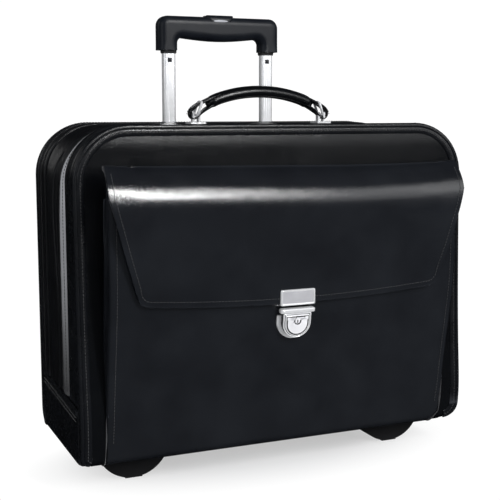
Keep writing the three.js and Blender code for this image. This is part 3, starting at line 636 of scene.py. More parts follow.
def front_panel():
    """The leather front, then its binding. Returns the binding's row of stitches."""
    heights = np.concatenate([[PANEL_END + 1, -6], np.linspace(-2, 20, 12), np.linspace(24, SHOULDER - 6, 26),
                              SHOULDER + CORNER * np.sin(np.linspace(0, math.pi / 2, 22))])
    share = np.sin(np.linspace(-math.pi / 2, math.pi / 2, 64))
    rows = []
    for t in heights:
        left, right = (half_at(t) - 0.6 - corner_cut(t, radius) for radius in LOWER_CORNERS)
        x = np.where(share < 0, share * left, share * right)
        rows.append(on_panel(x, np.full(len(x), t), panel_lift(x, t)))
    panel = sheet(rows, 2.6, (0, -1, 0), inner_kind=1)
    piece("front_panel_leather", "front_section", [panel], [panel_leather, lining_cloth], ["front_panel"])

    # The bound edge: a strip folded round it, with a groove near the corner and one row of stitches.
    ends = []
    for (_, side), radius in zip(SIDES, LOWER_CORNERS):
        spots = [((side * HALF_WIDTH, t), (side, 0.0)) for t in np.linspace(20, radius + 1, 3)]
        for angle in np.linspace(0, 1.35, 9):
            out = np.array([side * math.cos(angle), -math.sin(angle)])
            spots.append((np.array([side * (HALF_WIDTH - radius), radius]) + radius * out, out))
        ends.append(spots)
    track = list(reversed(ends[0])) + list(zip(*arch(0, 22)[:2])) + ends[1]
    outside = [(-2.2, -8.0), (-0.5, -8.0), (0.35, -7.4), (0.75, -5.5), (0.8, -1.5), (0.55, 0.2), (-0.2, 1.1),
               (-1.6, 1.5), (-2.7, 1.4), (-3.3, 0.75), (-3.9, 1.35), (-5.2, 1.65), (-8.2, 1.5), (-9.8, 1.2)]
    under = [(-10.6, 0.6), (-10.8, -0.4), (-6, -1.2), (-2.2, -1.4)]
    rings, line, face = [], [], []
    for (x, t), (nx, nt) in track:
        lean = float(panel_lift(np.array(x), t)) * 0.9
        rings.append([on_panel(x + d * nx, t + d * nt, np.array(e + (lean if e > -2 else 0)))
                      for d, e in outside + under])
        line.append(on_panel(x - 6.6 * nx, t - 6.6 * nt, np.array(1.6 + lean)))
        face.append((0, *panel_at(t)[1]))
    piece("front_binding", "front_section", [loft(rings)], [edge_leather])
    return stitches(line, face)


# ---- The three sections ----


def wall_kinds(outer, total):
    """Leather on a wall's outer sides and lining on the rest."""
    return [0] * outer + [1] * (total - outer)


def seam(out, y_at, bottom, face=None, straight=26):
    """A row of stitches round the case, at a distance outwards from its outline."""
    points, normals, _ = arch(0, bottom, straight)
    line = [(x + out * nx, y_at(z), z + out * nz) for (x, z), (nx, nz) in zip(points, normals)]
    return stitches(line, [face or (nx, 0, nz) for nx, nz in normals])


def front_section():
    def profile(point, weight):
        y0 = float(panel_y(point[1])) + 3.4
        outside = [(-2.6, y0 + 0.4), (-1.4, y0 + 1.5), (-1.2, y0 + 4), (-1.3, y0 + 6.5), (-0.4, y0 + 8),
                   (-0.1, y0 + 11)]
        lip = [(-0.2, 25.5), (-0.9, 27.6), (-2.0, 28.3), (-0.9, 29.0), (-0.2, 30.2), (0.1, 31.8),
               (-0.4, 33.2), (-1.6, 33.9), (-3.4, 33.9), (-6.8, 33.9)]
        lining = [(-LINING_INSET, y) for y in (33.2, y0 + 6, y0 + 0.8)] + [(-7, y0 + 0.4)]
        return outside + lip + lining

    skin = loft(arch_rings(profile), kinds=wall_kinds(15, 20))
    floor = tray(lambda z: float(np.interp(z, (5, 20, 60), (9.0, 2.0, 0.2))), 33.9)
    piece("front_shell", "front_section", [skin, floor], [edge_leather, lining_cloth], ["front_frame"])


def fold_share(z):
    """0 low on the side and 1 near the shoulder: the side's folds fan out towards the top."""
    return float(smoothstep(140, 262, z))


def middle_section():
    """The middle frame. Its puffed band and folds sink at the top corners. Returns its stitches."""
    def profile(point, weight):
        fan = fold_share(point[1])
        fold, second, first = 79 + 17 * fan, 72.5 + 8.5 * fan, 66.5 + 3 * fan
        band = [(-3.4, 42.1), (-2.4, 42.2), (-1.5, 43.2), (-0.8, 45.2), (-0.1, 48.5), (0.2, 52.5), (0.05, 56),
                (-0.6, 59.6), (-1.8, 61.4), (-3.0, 62.2)]
        folds = [(-3.4, 63.2), (-2.4, first - 2), (-1.9, first - 0.8), (-3.0, first), (-1.9, first + 0.8),
                 (-1.7, second - 1), (-2.9, second), (-1.7, second + 1), (-1.9, fold - 4), (-1.7, fold - 2.2),
                 (-0.4, fold - 1.2), (0.1, fold), (-0.3, fold + 1.2), (-1.5, fold + 2.4), (-1.9, fold + 6)]
        lip = [(-1.2, 110), (-0.4, 114.5), (-0.7, 116.8), (-1.9, 117.9), (-3.4, 117.9), (-6.8, 117.9)]
        lining = [(-LINING_INSET, y) for y in (117.2, 96, 70, 43)] + [(-6.8, 42.1)]
        rows = np.array(band + folds + lip + lining)
        sink = ((42, 52, 63, 96, 101, 116, 118), (2.2, 3.4, 5.6, 6.2, 5.2, 0.8, 0.0))
        dip = np.interp(rows[:, 1], *sink) * weight
        outer = len(band + folds + lip)
        rows[:outer, 0] = np.maximum(rows[:outer, 0] - dip[:outer] * (rows[:outer, 0] > -5), -6.9)
        return rows

    skin = loft(arch_rings(profile), kinds=[2] * 9 + wall_kinds(21, 27))
    floor = tray(lambda z: 42.1, 117.9)
    # The band (kind 2) carries a painted reflection high on its left side.
    finishes = [gusset_leather, lining_cloth, band_painted_reflection_leather]
    piece("middle_shell", "middle_section", [skin, floor], finishes, ["middle_frame"])
    points, normals, weights = arch(0, 64)
    rows = []
    for offset, rest, drop in ((45.6, -0.55, 2.6), (59.0, -0.35, 4.8)):
        line = [(x + (rest - drop * weight) * nx, offset, z + (rest - drop * weight) * nz)
                for (x, z), (nx, nz), weight in zip(points, normals, weights)]
        rows.append(stitches(line, [(nx, 0, nz) for nx, nz in normals]))
    return rows


REAR_RADIUS = 20.0


def rear_tuck(height):
    """How far the back's surface moves forward, low down, where it rounds under."""
    below = np.clip(REAR_RADIUS - np.asarray(height, float), 0, REAR_RADIUS)
    return REAR_RADIUS - np.sqrt(REAR_RADIUS**2 - below**2)


def rear_rise(y):
    """How far the underside rises near the back, where it rounds up."""
    return float(rear_tuck(DEPTH - y))


def back_panel():
    """The back's leather and lining, as one sheet that is open where the wheel housings come through it."""
    half_width, gaps = 212.5, (143.4, 181.6)
    heights = np.concatenate([[2.0, 6, 11, 18, 33.2], np.linspace(40, SHOULDER - 6, 20),
                              SHOULDER + CORNER * np.sin(np.linspace(0, math.pi / 2, 16)) * 0.985])
    right = [*range(0, 127, 18), gaps[0], 150, 157, 164, 171, gaps[1], 188, 196, 203, 209, half_width]
    columns = np.concatenate([-np.array(right[:0:-1]), right]) / half_width
    front, back = [], []
    for t in heights:
        x = columns * (half_width if t < SHOULDER else float(half_at(t)) - 2.5)
        swell = 1.2 * np.cos(np.clip(x / 225, -1, 1) * math.pi / 2) * math.sin(t / HEIGHT * math.pi)
        lift = swell + ripple(x, t, 0.2)
        tuck = float(rear_tuck(t))
        edge = 1.1 * smoothstep(213, 196, np.abs(x))
        back.append(np.stack([x, 163.6 - tuck + edge + lift * 0.4, np.full(len(x), t)], axis=1))
        front.append(upright(np.stack([x, np.full(len(x), t + tuck * 0.12)], axis=1), 161.6 - tuck))
    back, front = np.array(back), np.array(front)
    rows, count = back.shape[:2]
    size = rows * count

    def solid(i, j):
        if not (0 <= i < rows - 1 and 0 <= j < count - 1):
            return False
        middle = abs((back[i, j, 0] + back[i, j + 1, 0]) / 2)
        return i >= 4 or not gaps[0] < middle < gaps[1]

    faces, kinds = [], []
    for i in range(rows - 1):
        for j in range(count - 1):
            if not solid(i, j):
                continue
            a = i * count + j
            corners = (a, a + 1, a + count + 1, a + count)
            faces += [corners, tuple(size + c for c in reversed(corners))]
            kinds += [0, 1]
            neighbours = ((i - 1, j), (i, j + 1), (i + 1, j), (i, j - 1))
            for p, q, beside in zip(corners, corners[1:] + corners[:1], neighbours):
                if not solid(*beside):
                    faces.append((p, q, size + q, size + p))
                    kinds.append(0)
    return np.concatenate([back.reshape(-1, 3), front.reshape(-1, 3)]), faces, kinds


def back_section():
    """The back frame and panel, then the binding round the back. Returns their stitches."""
    def profile(point, weight):
        outside = [(-3.2, 126.1), (-1.8, 126.1), (-0.6, 126.8), (-0.1, 128.2), (0.0, 131), (-0.1, 134),
                   (-0.9, 135.2), (-1.8, 135.9), (-0.8, 136.6), (0.0, 138), (0.15, 144), (0.0, 150),
                   (-0.6, 152), (-0.7, 160), (-2.2, 162.6), (-5, 163.4)]
        return outside + [(-LINING_INSET, y) for y in (163, 145, 127)] + [(-6.8, 126.1)]

    skin = loft(arch_rings(profile), kinds=wall_kinds(15, 20))
    floor = tray(lambda z: 126.1, 155.0)
    parts = [skin, floor, back_panel()]
    piece("back_shell_leather", "case_back", parts, [gusset_leather, lining_cloth], ["back_shell"])

    outline = [(-2.0, 152.0), (-0.4, 152.0), (0.5, 152.6), (0.9, 154.5), (0.95, 160.5), (0.5, 163.6),
               (-0.8, 165.4), (-2.6, 166.0), (-8.6, 166.0), (-9.8, 165.4), (-10.2, 164.4), (-6, 163.4),
               (-2.2, 163.0)]
    points, normals, _ = arch(0, 2.5, 34)
    rings = [[(x + d * nx, y - rear_tuck(z), z + d * nz) for d, y in outline]
             for (x, z), (nx, nz) in zip(points, normals)]
    piece("back_binding", "case_back", [loft(rings)], [edge_leather])
    return [seam(0.95, lambda z: 157.6 - float(rear_tuck(z)), 2.5, straight=34),
            seam(-6.2, lambda z: 166.05 - float(rear_tuck(z)), 2.5, (0, 1, 0), straight=34),
            seam(0.1, lambda z: 139.2, 66)]


# Radii of the boots' lower edges, left and right.
BOOT_CORNERS = (5.0, 15.0)


def boot_top(y):
    """Height of the boots' upper edge, which climbs a little towards the back."""
    return 52.5 + 7 * y / DEPTH


def boots():
    """Leather boots over the sections' lower edges, and the base between them. Returns their stitches."""
    rows, rims = [], []
    for (name, side), radius in zip(SIDES, BOOT_CORNERS):
        grid = []
        for y in np.concatenate([[4.4, 5.2, 7], np.linspace(12, 157, 20), [162.5, 164.2]]):
            top, rise = boot_top(y), rear_rise(y)
            end = 1.1 * (smoothstep(8, 4, y) + smoothstep(DEPTH - 4, DEPTH, y))
            outline = [(205.3 - radius, -0.3)] + arc((215.3 - radius, radius - 0.3), radius, -90, 0, 8)
            outline += [(215.4, 28), (215.3, top - 12), (215.2, top - 5), (215.0, top - 1.5)]
            grid.append([(side * (x - end), y, rise + z * (top - rise) / top) for x, z in outline])
        boot = sheet(grid, 2.6, (side, 0, 0))
        piece(f"boot_{name}", "case_back", [boot], [edge_leather], [f"base_boot_{name}"])
        crease = ((3.2, -2.2), (3.75, -1.2), (3.8, 0.4), (3.2, 1.6), (0.6, 1.8), (0, 0))
        rims.append(loft([[(side * (211.6 + out), y, boot_top(y) + up) for out, up in crease]
                          for y in np.linspace(5, 150, 24)]))
        for drop in (4.2, 8.4):
            line = [(side * 215.35, y, boot_top(y) - drop) for y in np.linspace(7, 150, 40)]
            rows.append(stitches(line, [(side, 0, 0)] * len(line)))
    piece("boot_rims", "case_back", rims, [edge_leather])
    sole = []
    for y in np.concatenate([np.linspace(20, 140, 14), np.linspace(146, 155, 5)]):
        sag = 0.1 * math.cos(y / 25)
        sole.append([(x, y, rear_rise(y) + sag * math.cos(x / 40)) for x in np.linspace(-203, 200, 41)])
    base = sheet(sole, 3.2, (0, 0, -1))
    piece("base_panel", "case_back", [base], [dark_plastic], ["base_board"])
    return rows


# ---- Front pocket and its flap ----

POCKET_LINE = even(spline([(10, -1.5), (2.4, -1.4), (-6.2, 4.6), (-10.6, 19), (-12.6, 31), (-15.4, 46),
                           (-18.6, 70), (-28.5, 130), (-33.4, 165), (-38.6, 235), (-39.8, 262)], 200), 64)
# Heights on the pocket's back, and its y at each.
POCKET_BACK = ((30, 52, 95, 122, 282), (-10.4, -11.4, -8.2, -6.2, -22.4))


def pocket_front(z):
    return float(np.interp(z, POCKET_LINE[:, 1], POCKET_LINE[:, 0]))


def pocket():
    """A pouch with a swelling front and folded sides that runs into the panel. Returns its stitches."""
    half, radius = 190.5, 4.0
    inner = np.linspace(half - radius, 0, 22)[1:]
    grid = []
    for front, z in POCKET_LINE:
        back = float(np.interp(z, *POCKET_BACK)) if z > 30 else front + 2.2
        depth = max(back - front - radius, 0.4)
        pinch = 2.6 * smoothstep(100, 240, z) * smoothstep(2, 14, depth)
        side = [(half - 0.2, back - 0.2)]
        side += [(half - pinch * share, back - depth * along)
                 for share, along in ((0.6, 0.25), (1, 0.5), (0.5, 0.78), (0, 1))]
        side += arc((half - radius, front + radius), radius, -math.degrees(0.25), -90, 5)
        swell = 1.2 * np.cos(inner / half * math.pi / 2) * math.sin(max(z - 30, 0) / 232 * math.pi)
        side += [(x, front - s + float(ripple(x, z, 0.25))) for x, s in zip(inner, swell)]
        droop = 4.0 * float(smoothstep(170, 235, z))
        side = [(x, min(y + droop * float(smoothstep(150, 189, x)), back - 0.1)) for x, y in side]
        # The foot is a little narrower at its right end.
        narrow = 5.5 * float(smoothstep(14, 3, z))
        right = [(x - narrow * float(smoothstep(150, 190, x)), y, z) for x, y in reversed(side[:-1])]
        grid.append([(-x, y, z) for x, y in side] + right)
    wall = sheet(grid, 1.6, (0, -1, 0), inner_kind=1)
    back = [[(x, float(np.interp(z, *POCKET_BACK)) - 2.2, z) for x in np.linspace(-189.4, 189.4, 20)]
            for z in np.linspace(52, 281.5, 22)]
    rear = sheet(back, -1.9, (0, -1, 0), inner_kind=0)
    piece("pocket_leather", "front_section", [wall, rear], [black_leather, lining_cloth], ["front_pocket"])
    rows = []
    for _, side in SIDES:
        rows.append([(side * 183.5, pocket_front(z) - 0.05 + 3.2 * float(smoothstep(170, 235, z)), z)
                     for z in np.linspace(24, 240, 40)])
    rows.append([(x, pocket_front(255) - 0.5, 255.5) for x in np.linspace(-176, 176, 40)])
    return [stitches(row, [(0, -1, 0)] * len(row)) for row in rows]


FLAP_HALF = 193.0
FLAP_FOLD = spline([(-22.4, 279), (-23.0, 284), (-24.0, 288.2), (-26.6, 290.6), (-31.2, 286.6),
                    (-38.2, 278.2)], 140)
FLAP_FRONT = spline([(-38.2, 278.2), (-43.4, 269.6), (-46.2, 260), (-46.8, 249), (-45.9, 234), (-42.8, 202),
                     (-39.6, 170), (-38.4, 150)], 160)
FLAP_LINE = even(np.concatenate([FLAP_FOLD, FLAP_FRONT[1:]]), 400)
FLAP_RUN = lengths(FLAP_LINE)
FLAP_TANGENT = unit(np.gradient(FLAP_LINE, axis=0))


def flap_low(x):
    """Height of the flap's lower edge across its width."""
    x = abs(x)
    if x > 188:
        return 244 + (x - 188) / 5 * 18
    if x > 167:
        return 176 + (x - 167) / 21 * 68
    if x > 152:
        return 176 - math.sqrt(max(225 - (x - 152) ** 2, 0))
    return 161 - 6.5 * (1 - (x / 152) ** 2)


def on_flap(x, run, lift=0.0):
    """A point on the flap, run millimetres along its leather from its sewn edge."""
    spot = np.array([np.interp(run, FLAP_RUN, FLAP_LINE[:, k]) for k in (0, 1)])
    tangent = np.array([np.interp(run, FLAP_RUN, FLAP_TANGENT[:, k]) for k in (0, 1)])
    normal = np.array([tangent[1], -tangent[0]])
    puff = 0.8 * math.cos(min(abs(x) / FLAP_HALF, 1) * math.pi / 2) + float(ripple(x, run, 0.3))
    puff *= float(smoothstep(28, 58, run))
    spot = spot + normal * (lift + puff)
    # The fold hangs a little in the middle, and the right end lies flatter.
    fold = float(smoothstep(3, 13, run)) * (1 - float(smoothstep(45, 115, run)))
    spot += fold * np.array([np.interp(x, (-193, -120, 60, 140, 193), (-0.8, 0, 0, 0.8, 3.2)),
                             np.interp(x, (-193, -138, -35, 64, 135, 193), (3.6, 2.0, 0.2, -1.1, -0.8, 1.0))])
    return (x, spot[0], spot[1]), (0, normal[0], normal[1])


FRONT_START = int(np.argmax(FLAP_LINE[:, 1]))


def run_at(z):
    line = FLAP_LINE[FRONT_START:]
    return float(np.interp(-z, -line[:, 1], FLAP_RUN[FRONT_START:]))


def flap():
    """The flap, blended across its sewn fold. Returns its stitches, 5 mm in from its lower outline."""
    stretches = (np.linspace(0, 0.16, 5), np.linspace(0.16, 0.42, 22)[1:], np.linspace(0.42, 1, 24)[1:])
    share = np.concatenate(stretches)
    grid = []
    for x in FLAP_HALF * np.sin(np.linspace(-math.pi / 2, math.pi / 2, 91)):
        runs = share * run_at(flap_low(x))
        grid.append([on_flap(x * (1 - 0.05 * (1 - float(smoothstep(0, 11, run)))), run)[0] for run in runs])
    leaf = sheet(np.array(grid).transpose(1, 0, 2), 2.5, (0, -1, 0), 0.4, inner_kind=1)
    cover = piece("flap_leather", None, [leaf], [black_leather, lining_cloth], ["flap"])
    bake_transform(cover)

    outline = [(x, run_at(flap_low(x))) for x in np.linspace(0.1 - FLAP_HALF, FLAP_HALF - 0.1, 400)]
    outline = even(np.array([(-FLAP_HALF, run_at(286)), *outline, (FLAP_HALF, run_at(286))]), 360)
    along = unit(np.gradient(outline, axis=0))
    moved = outline + np.stack([along[:, 1], -along[:, 0]], axis=1) * 5.0
    keep = moved[(np.abs(moved[:, 0]) < 188.6) & (moved[:, 1] > run_at(284))]
    spots = [on_flap(x, run, 0.05) for x, run in keep]
    return stitches([point for point, _ in spots], [normal for _, normal in spots])


# ---- Lock ----

LOCK_LEAN = math.atan(4.9 / 35)


def from_lock(points):
    """Lock coordinates, with y = 0 on the pocket and z = 0 a little above the lock, to case coordinates."""
    points = np.asarray(points, float)
    c, s = math.cos(LOCK_LEAN), math.sin(LOCK_LEAN)
    y, z = points[..., 1], points[..., 2]
    return np.stack([points[..., 0], -32.4 + y * c - z * s, 150 + y * s + z * c], axis=-1)


def on_lock(part):
    points, faces, kinds = part
    return from_lock(points), faces, kinds


def d_outline(half, top, bottom, steps=24, radius=1.2):
    """A D lying on its side, anticlockwise: straight along the top and round below."""
    outline = arc((half - radius, top - radius), radius, 0, 90, 4)
    outline += arc((radius - half, top - radius), radius, 90, 180, 4)
    return np.array(outline + arc((0, bottom + half), half, 180, 360, steps))


def lock():
    """The lock's base plate, body with its crossbar, push button and key plug, and the plate on the flap."""
    base = on_lock(slab(d_outline(19, -8.5, -34), 0, -2.2, 0.8))
    piece("lock_base_plate", "front_section", [base], [chrome], ["lock_base"], angle=50)

    # The body is a raised rim round a sunk floor, undercut behind. A rounded bar crosses it. The undercut and
    # the rim's inner wall are near-black steel: painted shade.
    outer, wall = d_outline(15.5, -5.2, -31), d_outline(13.9, -6.4, -29.4)
    body = stepped([(outer, 0.8, -2.4), (outer, 0.8, -4.6), (outer, 0.2, -5.0), (outer, 0, -5.4),
                    (outer, 0, -8.2), (outer, 0.25, -8.8), (outer, 0.8, -9.0), (wall, -0.3, -8.9),
                    (wall, 0, -8.5), (wall, 0, -4.2), (wall, 3, -4.1)], bands=[1, 1, 1, 1, 0, 0, 0, 0, 1, 1])
    bar_path = [(x, -6.6, -2.5) for x in (-19, -18.4, -16.5, -14, 0, 14, 16.5, 18.4, 19)]
    bar = sweep(bar_path, rounded(3.7, 2.35, 1.4), (0, 0, 1), (0.55, 0.85, 1, 1, 1, 1, 1, 0.85, 0.55))
    parts = [on_lock(body), on_lock(bar)]
    piece("lock_case", "front_section", parts, [chrome, painted_shade_steel], ["lock_body"], angle=50)

    # The push button is a D with a stepped rim and a hole for the key plug. The rim's groove and the hole's
    # wall are near-black steel: painted shade.
    key_at = (0, -13)
    face = d_outline(13.2, -6.9, -28.9)
    hole = circle(3.9, len(face)) + key_at
    start = np.argmin(np.linalg.norm(unit(face - key_at) - unit(hole[:1] - key_at), axis=1))
    hole = np.roll(hole, int(start), axis=0)
    button = stepped([(face, 0, -6.6), (face, 0, -9.2), (face, 0.5, -9.7), (face, 1.1, -9.8),
                      (face, 1.3, -9.2), (face, 2.1, -9.2), (face, 2.4, -10.0), (face, 5, -10.2),
                      (hole, 0, -10.2), (hole, 0, -6.8)],
                     bands=[0, 0, 0, 2, 2, 2, 1, 1, 2])
    finishes = [chrome, nickel_face, painted_shade_steel]
    piece("lock_push_button", "lock_release", [on_lock(button)], finishes, ["lock_button"], angle=50)
    plug = slab(circle(2.75, 28) + key_at, -6.9, -10.1, 0.35)
    # The keyway is a near-black slot standing on the plug's face: painted shade.
    points, faces, _ = slab(rounded(0.62, 1.9, 0.3, 2) + key_at, -9.6, -10.16, 0.05)
    parts = [on_lock(plug), on_lock((points, faces, [1] * len(faces)))]
    piece("lock_key_plug", "lock_key", parts, [nickel_face, painted_shade_steel], ["key_cylinder"], angle=50)

    # The plate on the flap: a bright bevelled border round a satin face.
    border = ((0, -39.3), (0, -41.0), (0.4, -41.6), (1.0, -41.9), (1.9, -41.7), (2.3, -41.2), (4, -41.2))
    rings = [upright(rounded(19 - d, 8 - d, max(1.6 - d * 0.6, 0.4)) + (0, 160), y) for d, y in border]
    plate = loft(rings, bands=[0, 0, 0, 0, 0, 1], end=1)
    piece("flap_lock_plate", "pocket_flap", [plate], [chrome, satin_chrome], ["flap_plate"], angle=30)


# ---- Zips ----


def tooth_shape():
    ring = rounded(1.0, 0.75, 0.35, 2)
    stretches = ((-0.6, 0.8), (-0.3, 1), (0.5, 1), (0.9, 0.75))
    points, faces, _ = loft([level(ring * size, z) for z, size in stretches])
    return points, faces


def teeth_row(centre, way, sink):
    """One half's teeth round the case, half a pitch on from the other half's."""
    pitch = 2.5
    points, normals, weights = arch(4.0, 63.0)
    spots = points + normals * (0.15 - sink * weights)[:, None]
    line = upright(spots, centre - 0.55 * way)
    where = np.arange(pitch, lengths(line)[-1] - pitch, pitch) + (pitch / 2 if way < 0 else 0)
    origin = at_length(line, where)
    ahead = unit(at_length(line, where + 0.3) - at_length(line, where - 0.3))
    across = np.broadcast_to(np.array([0.0, 1.0 * way, 0.0]), ahead.shape)
    up = np.cross(ahead, (0.0, 1.0, 0.0))
    up *= math.copysign(1, -up[0, 0])
    return scatter(*tooth_shape(), origin, np.stack([across * 1.05, ahead * 0.75, up], axis=1))


def zips():
    """Tapes and teeth. Each half rides with its own section, and the teeth of the two halves alternate."""
    halves = (("front_zip", "front", "front_section", 34.3, 38.0, 1),
              ("front_zip", "middle", "middle_section", 41.7, 38.0, -1),
              ("rear_zip", "middle", "middle_section", 118.3, 122.0, 1),
              ("rear_zip", "back", "case_back", 125.7, 122.0, -1))
    for label, half, body, root, centre, way in halves:
        near, far = root + 0.1 * way, centre - 0.5 * way
        middle = (near + far) / 2
        sink = 1.2 if label == "front_zip" else 0.0

        def profile(point, weight):
            section = ((-0.3, near), (0.0, middle), (0.35, far - 0.5 * way), (0.5, far), (-0.6, far),
                       (-1.1, middle), (-1.2, near))
            return [(out - sink * weight, y) for out, y in section]

        tape = loft(arch_rings(profile, 4.0, 61.5))
        piece(f"{label}_{half}_tape", body, [tape], [tape_cloth], [f"{label}_tape_{half}"])
        piece(f"{label}_{half}_teeth", body, [teeth_row(centre, way, sink)], [zip_nickel])


# ---- Carrying handle ----


def handle():
    """A leather roll that thins towards its ends, where flat straps loop through two metal rings."""
    left = [(-59, 349.4), (-48, 355.4), (-25, 361.2)]
    path = upright(spline(left + [(0, 363.2)] + mirror(left), 61), HANDLE_Y)
    section = np.array(arc((0, 0), 1, 0, 342, 20)) * (8.2, 6.5)
    section[section[:, 1] < 0, 1] *= 0.92
    thinning = 1 - 0.42 * smoothstep(0.78, 1.0, np.abs(np.linspace(-1, 1, 61)))
    parts, rows, rings = [sweep(path, section, (0, 0, 1), thinning)], [], {}
    loop = spline([(47, 359.6), (56, 356.2), (64, 352.6), (72, 348.8), (77.6, 343.6), (78.6, 338.6),
                   (75.4, 335.4), (71.0, 336.6), (66.6, 341.0), (60.5, 345.6), (53, 349.6), (46, 352.2)], 60)
    narrowing = 1 - 0.42 * smoothstep(347, 338, loop[:, 1])
    for name, side in SIDES:
        strap = upright(loop * (side, 1), HANDLE_Y)
        up = np.cross(unit(np.gradient(strap, axis=0)), (0, 1, 0))
        parts.append(sweep(strap, rounded(6.2, 1.15, 0.7, 3), up, narrowing))
        outwards = up[4:26] * math.copysign(1, up[4, 2])
        for edge in (-4.6, 4.6):
            rows.append(stitches(strap[4:26] + (0, edge, 0) + outwards * 1.15, outwards, 2.6, 1.9, 0.6))
        tilt = side * -0.36
        ring = [(side * 72 + z * math.sin(tilt), HANDLE_Y + y, 339.5 + z * math.cos(tilt))
                for y, z in rounded(6.2, 7.2, 3.0, 5) + (0, 7)]
        rings[name] = sweep(ring, circle(1.35, 10), (math.cos(tilt), 0.0, -math.sin(tilt)), closed=True)
    piece("handle_roll", "handle", parts, [handle_leather], ["carry_handle"])
    for edge in (-5.6, 5.6):
        line = even(path[9:52], 50) + (0, edge, -4.45)
        rows.append(stitches(line, [(0, math.copysign(0.5, edge), -0.85)] * len(line), 3.0, 2.2, 0.7))
    piece("handle_stitches", "handle", rows, [thread])
    for name, ring in rings.items():
        piece(f"ring_{name}", "handle", [ring], [chrome], [f"handle_ring_{name}"])


# ---- Trolley cover, gussets and the inside ----


def trolley_cover():
    """A padded leather channel over the tubes, sewn to the back by two flanges. Returns its stitches."""
    outline = [(-78, 165.5), (-78, 176.4)] + arc((-73, 176.4), 5, 180, 90, 6)[1:]
    outline += [(x, 181.4 + 0.2 * math.cos(x / 73 * math.pi / 2)) for x in np.linspace(-66, 66, 12)]
    outline += mirror(outline[:7])
    inside = [(75.6, 165.5), (75.6, 175.6), (72.4, 179.6)]
    outer = len(outline)
    outline = np.array(outline + inside + mirror(inside))
    outwards = unit(outline - (0.0, 172.0)) * (np.arange(len(outline)) < outer)[:, None]
    straight = [(z, 0) for z in (8, 60, 140, 230, 318, 325)]
    rows = [(6.2, 0.9), (6.8, 0.3), *straight, (326.0, 0.3), (326.3, 0.9)]
    rings = [level(outline - outwards * pull, z) for z, pull in rows]
    parts = [loft(rings, kinds=[0] * (outer - 1) + [1] * (len(outline) - outer + 1))]
    rows = []
    for _, side in SIDES:
        grid = [[(side * x, 166.6 if x > 79 else 167.4, z) for x in (78.1, 79.4, 81, 85, 89, 91.5)]
                for z in np.linspace(7, 325, 24)]
        parts.append(sheet(grid, 1.4, (0, 1, 0)))
        rows.append(stitches([(side * 86, 166.65, z) for z in np.linspace(10, 322, 20)], [(0, 1, 0)] * 20))
    piece("trolley_cover_leather", "case_back", parts, [black_leather, lining_cloth], ["trolley_cover"])
    return rows


def gussets():
    """Pleated leather between the sections, inside each side."""
    spans = (("rear", "case_back", "middle_section", 128.5, 115.5, 3),
             ("front", "middle_section", "front_section", 45.5, 30.5, 4))
    for label, behind, ahead, far, near, pleats in spans:
        for name, side in SIDES:
            grid = []
            for z in np.linspace(14, 238, 30):
                depth = 3 + 8.5 * (z / 238)
                row = []
                for share in np.linspace(0, 1, pleats * 6 + 1):
                    fold = abs(((share * pleats) % 1) * 2 - 1)
                    sag = 10 * math.sin(share * math.pi) * smoothstep(200, 238, z)
                    x = HALF_WIDTH - 8.4 - depth * (1 - fold)
                    row.append((side * x, far + (near - far) * share, z - sag))
                grid.append(row)
            leaf = sheet(grid, 0.7, (side, 0, 0))
            made = piece(f"{label}_gusset_{name}", None, [leaf], [gusset_leather], angle=60)
            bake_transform(made)


def pillow(x_half, z_low, z_high, y_base, rise, edge=14, seams=()):
    """A patch pocket's wall, with round sides and foot, an open top and sewn channels."""
    right = x_half - np.array([edge, 9, 5, 2, 0])
    columns = np.concatenate([-right[::-1], np.linspace(-x_half + edge + 8, x_half - edge - 8, 40), right])
    grid = []
    for z in np.concatenate([z_low + np.array([0, 2, 5, 9]), np.linspace(z_low + edge, z_high, 18)]):
        foot = math.sin(min((z - z_low) / edge, 1) * math.pi / 2)
        row = []
        for x in columns:
            sides = math.sin(min((x_half - abs(x)) / edge, 1) * math.pi / 2)
            channel = 1 - 0.55 * sum(math.exp(-(((x - seam_x) / 5) ** 2)) for seam_x in seams)
            row.append((x, y_base + rise * sides * foot * channel, z))
        grid.append(row)
    return grid


def inner_pockets():
    organizer = pillow(150, 60, 200, 5.4, 10.8, seams=(-95, -80, -65, 10))
    piece("organizer", "front_section", [sheet(organizer, 1.6, (0, 1, 0))], [lining_cloth],
          ["organizer_pocket"])
    papers = pillow(170, 45, 230, 161.4, -9.6)
    piece("paper_pocket", "case_back", [sheet(papers, 1.6, (0, -1, 0))], [lining_cloth], ["document_pocket"])


def divider():
    """A lined board with a bound edge."""
    points, normals, _ = arch(LINING_INSET + 1.2, 9)
    left = points[:len(points) // 2 + 1]
    board = []
    for share in np.linspace(1, -1, 25):
        row = [(share * abs(x), z) for x, z in left]
        board.append([(x, 84.3 + 0.35 * math.cos(x / 60) * math.cos(z / 50), z) for x, z in row])
    edge = ((0.4, 84.0), (0.4, 87.0), (-5, 87.2), (-5.5, 86.6), (-5.5, 84.4), (-5, 83.8))
    bound = [[(x + d * nx, y, z + d * nz) for d, y in edge] for (x, z), (nx, nz) in zip(points, normals)]
    parts = [sheet(board, 2.4, (0, -1, 0)), loft(bound)]
    piece("divider_board", "middle_section", parts, [lining_cloth], ["divider"])


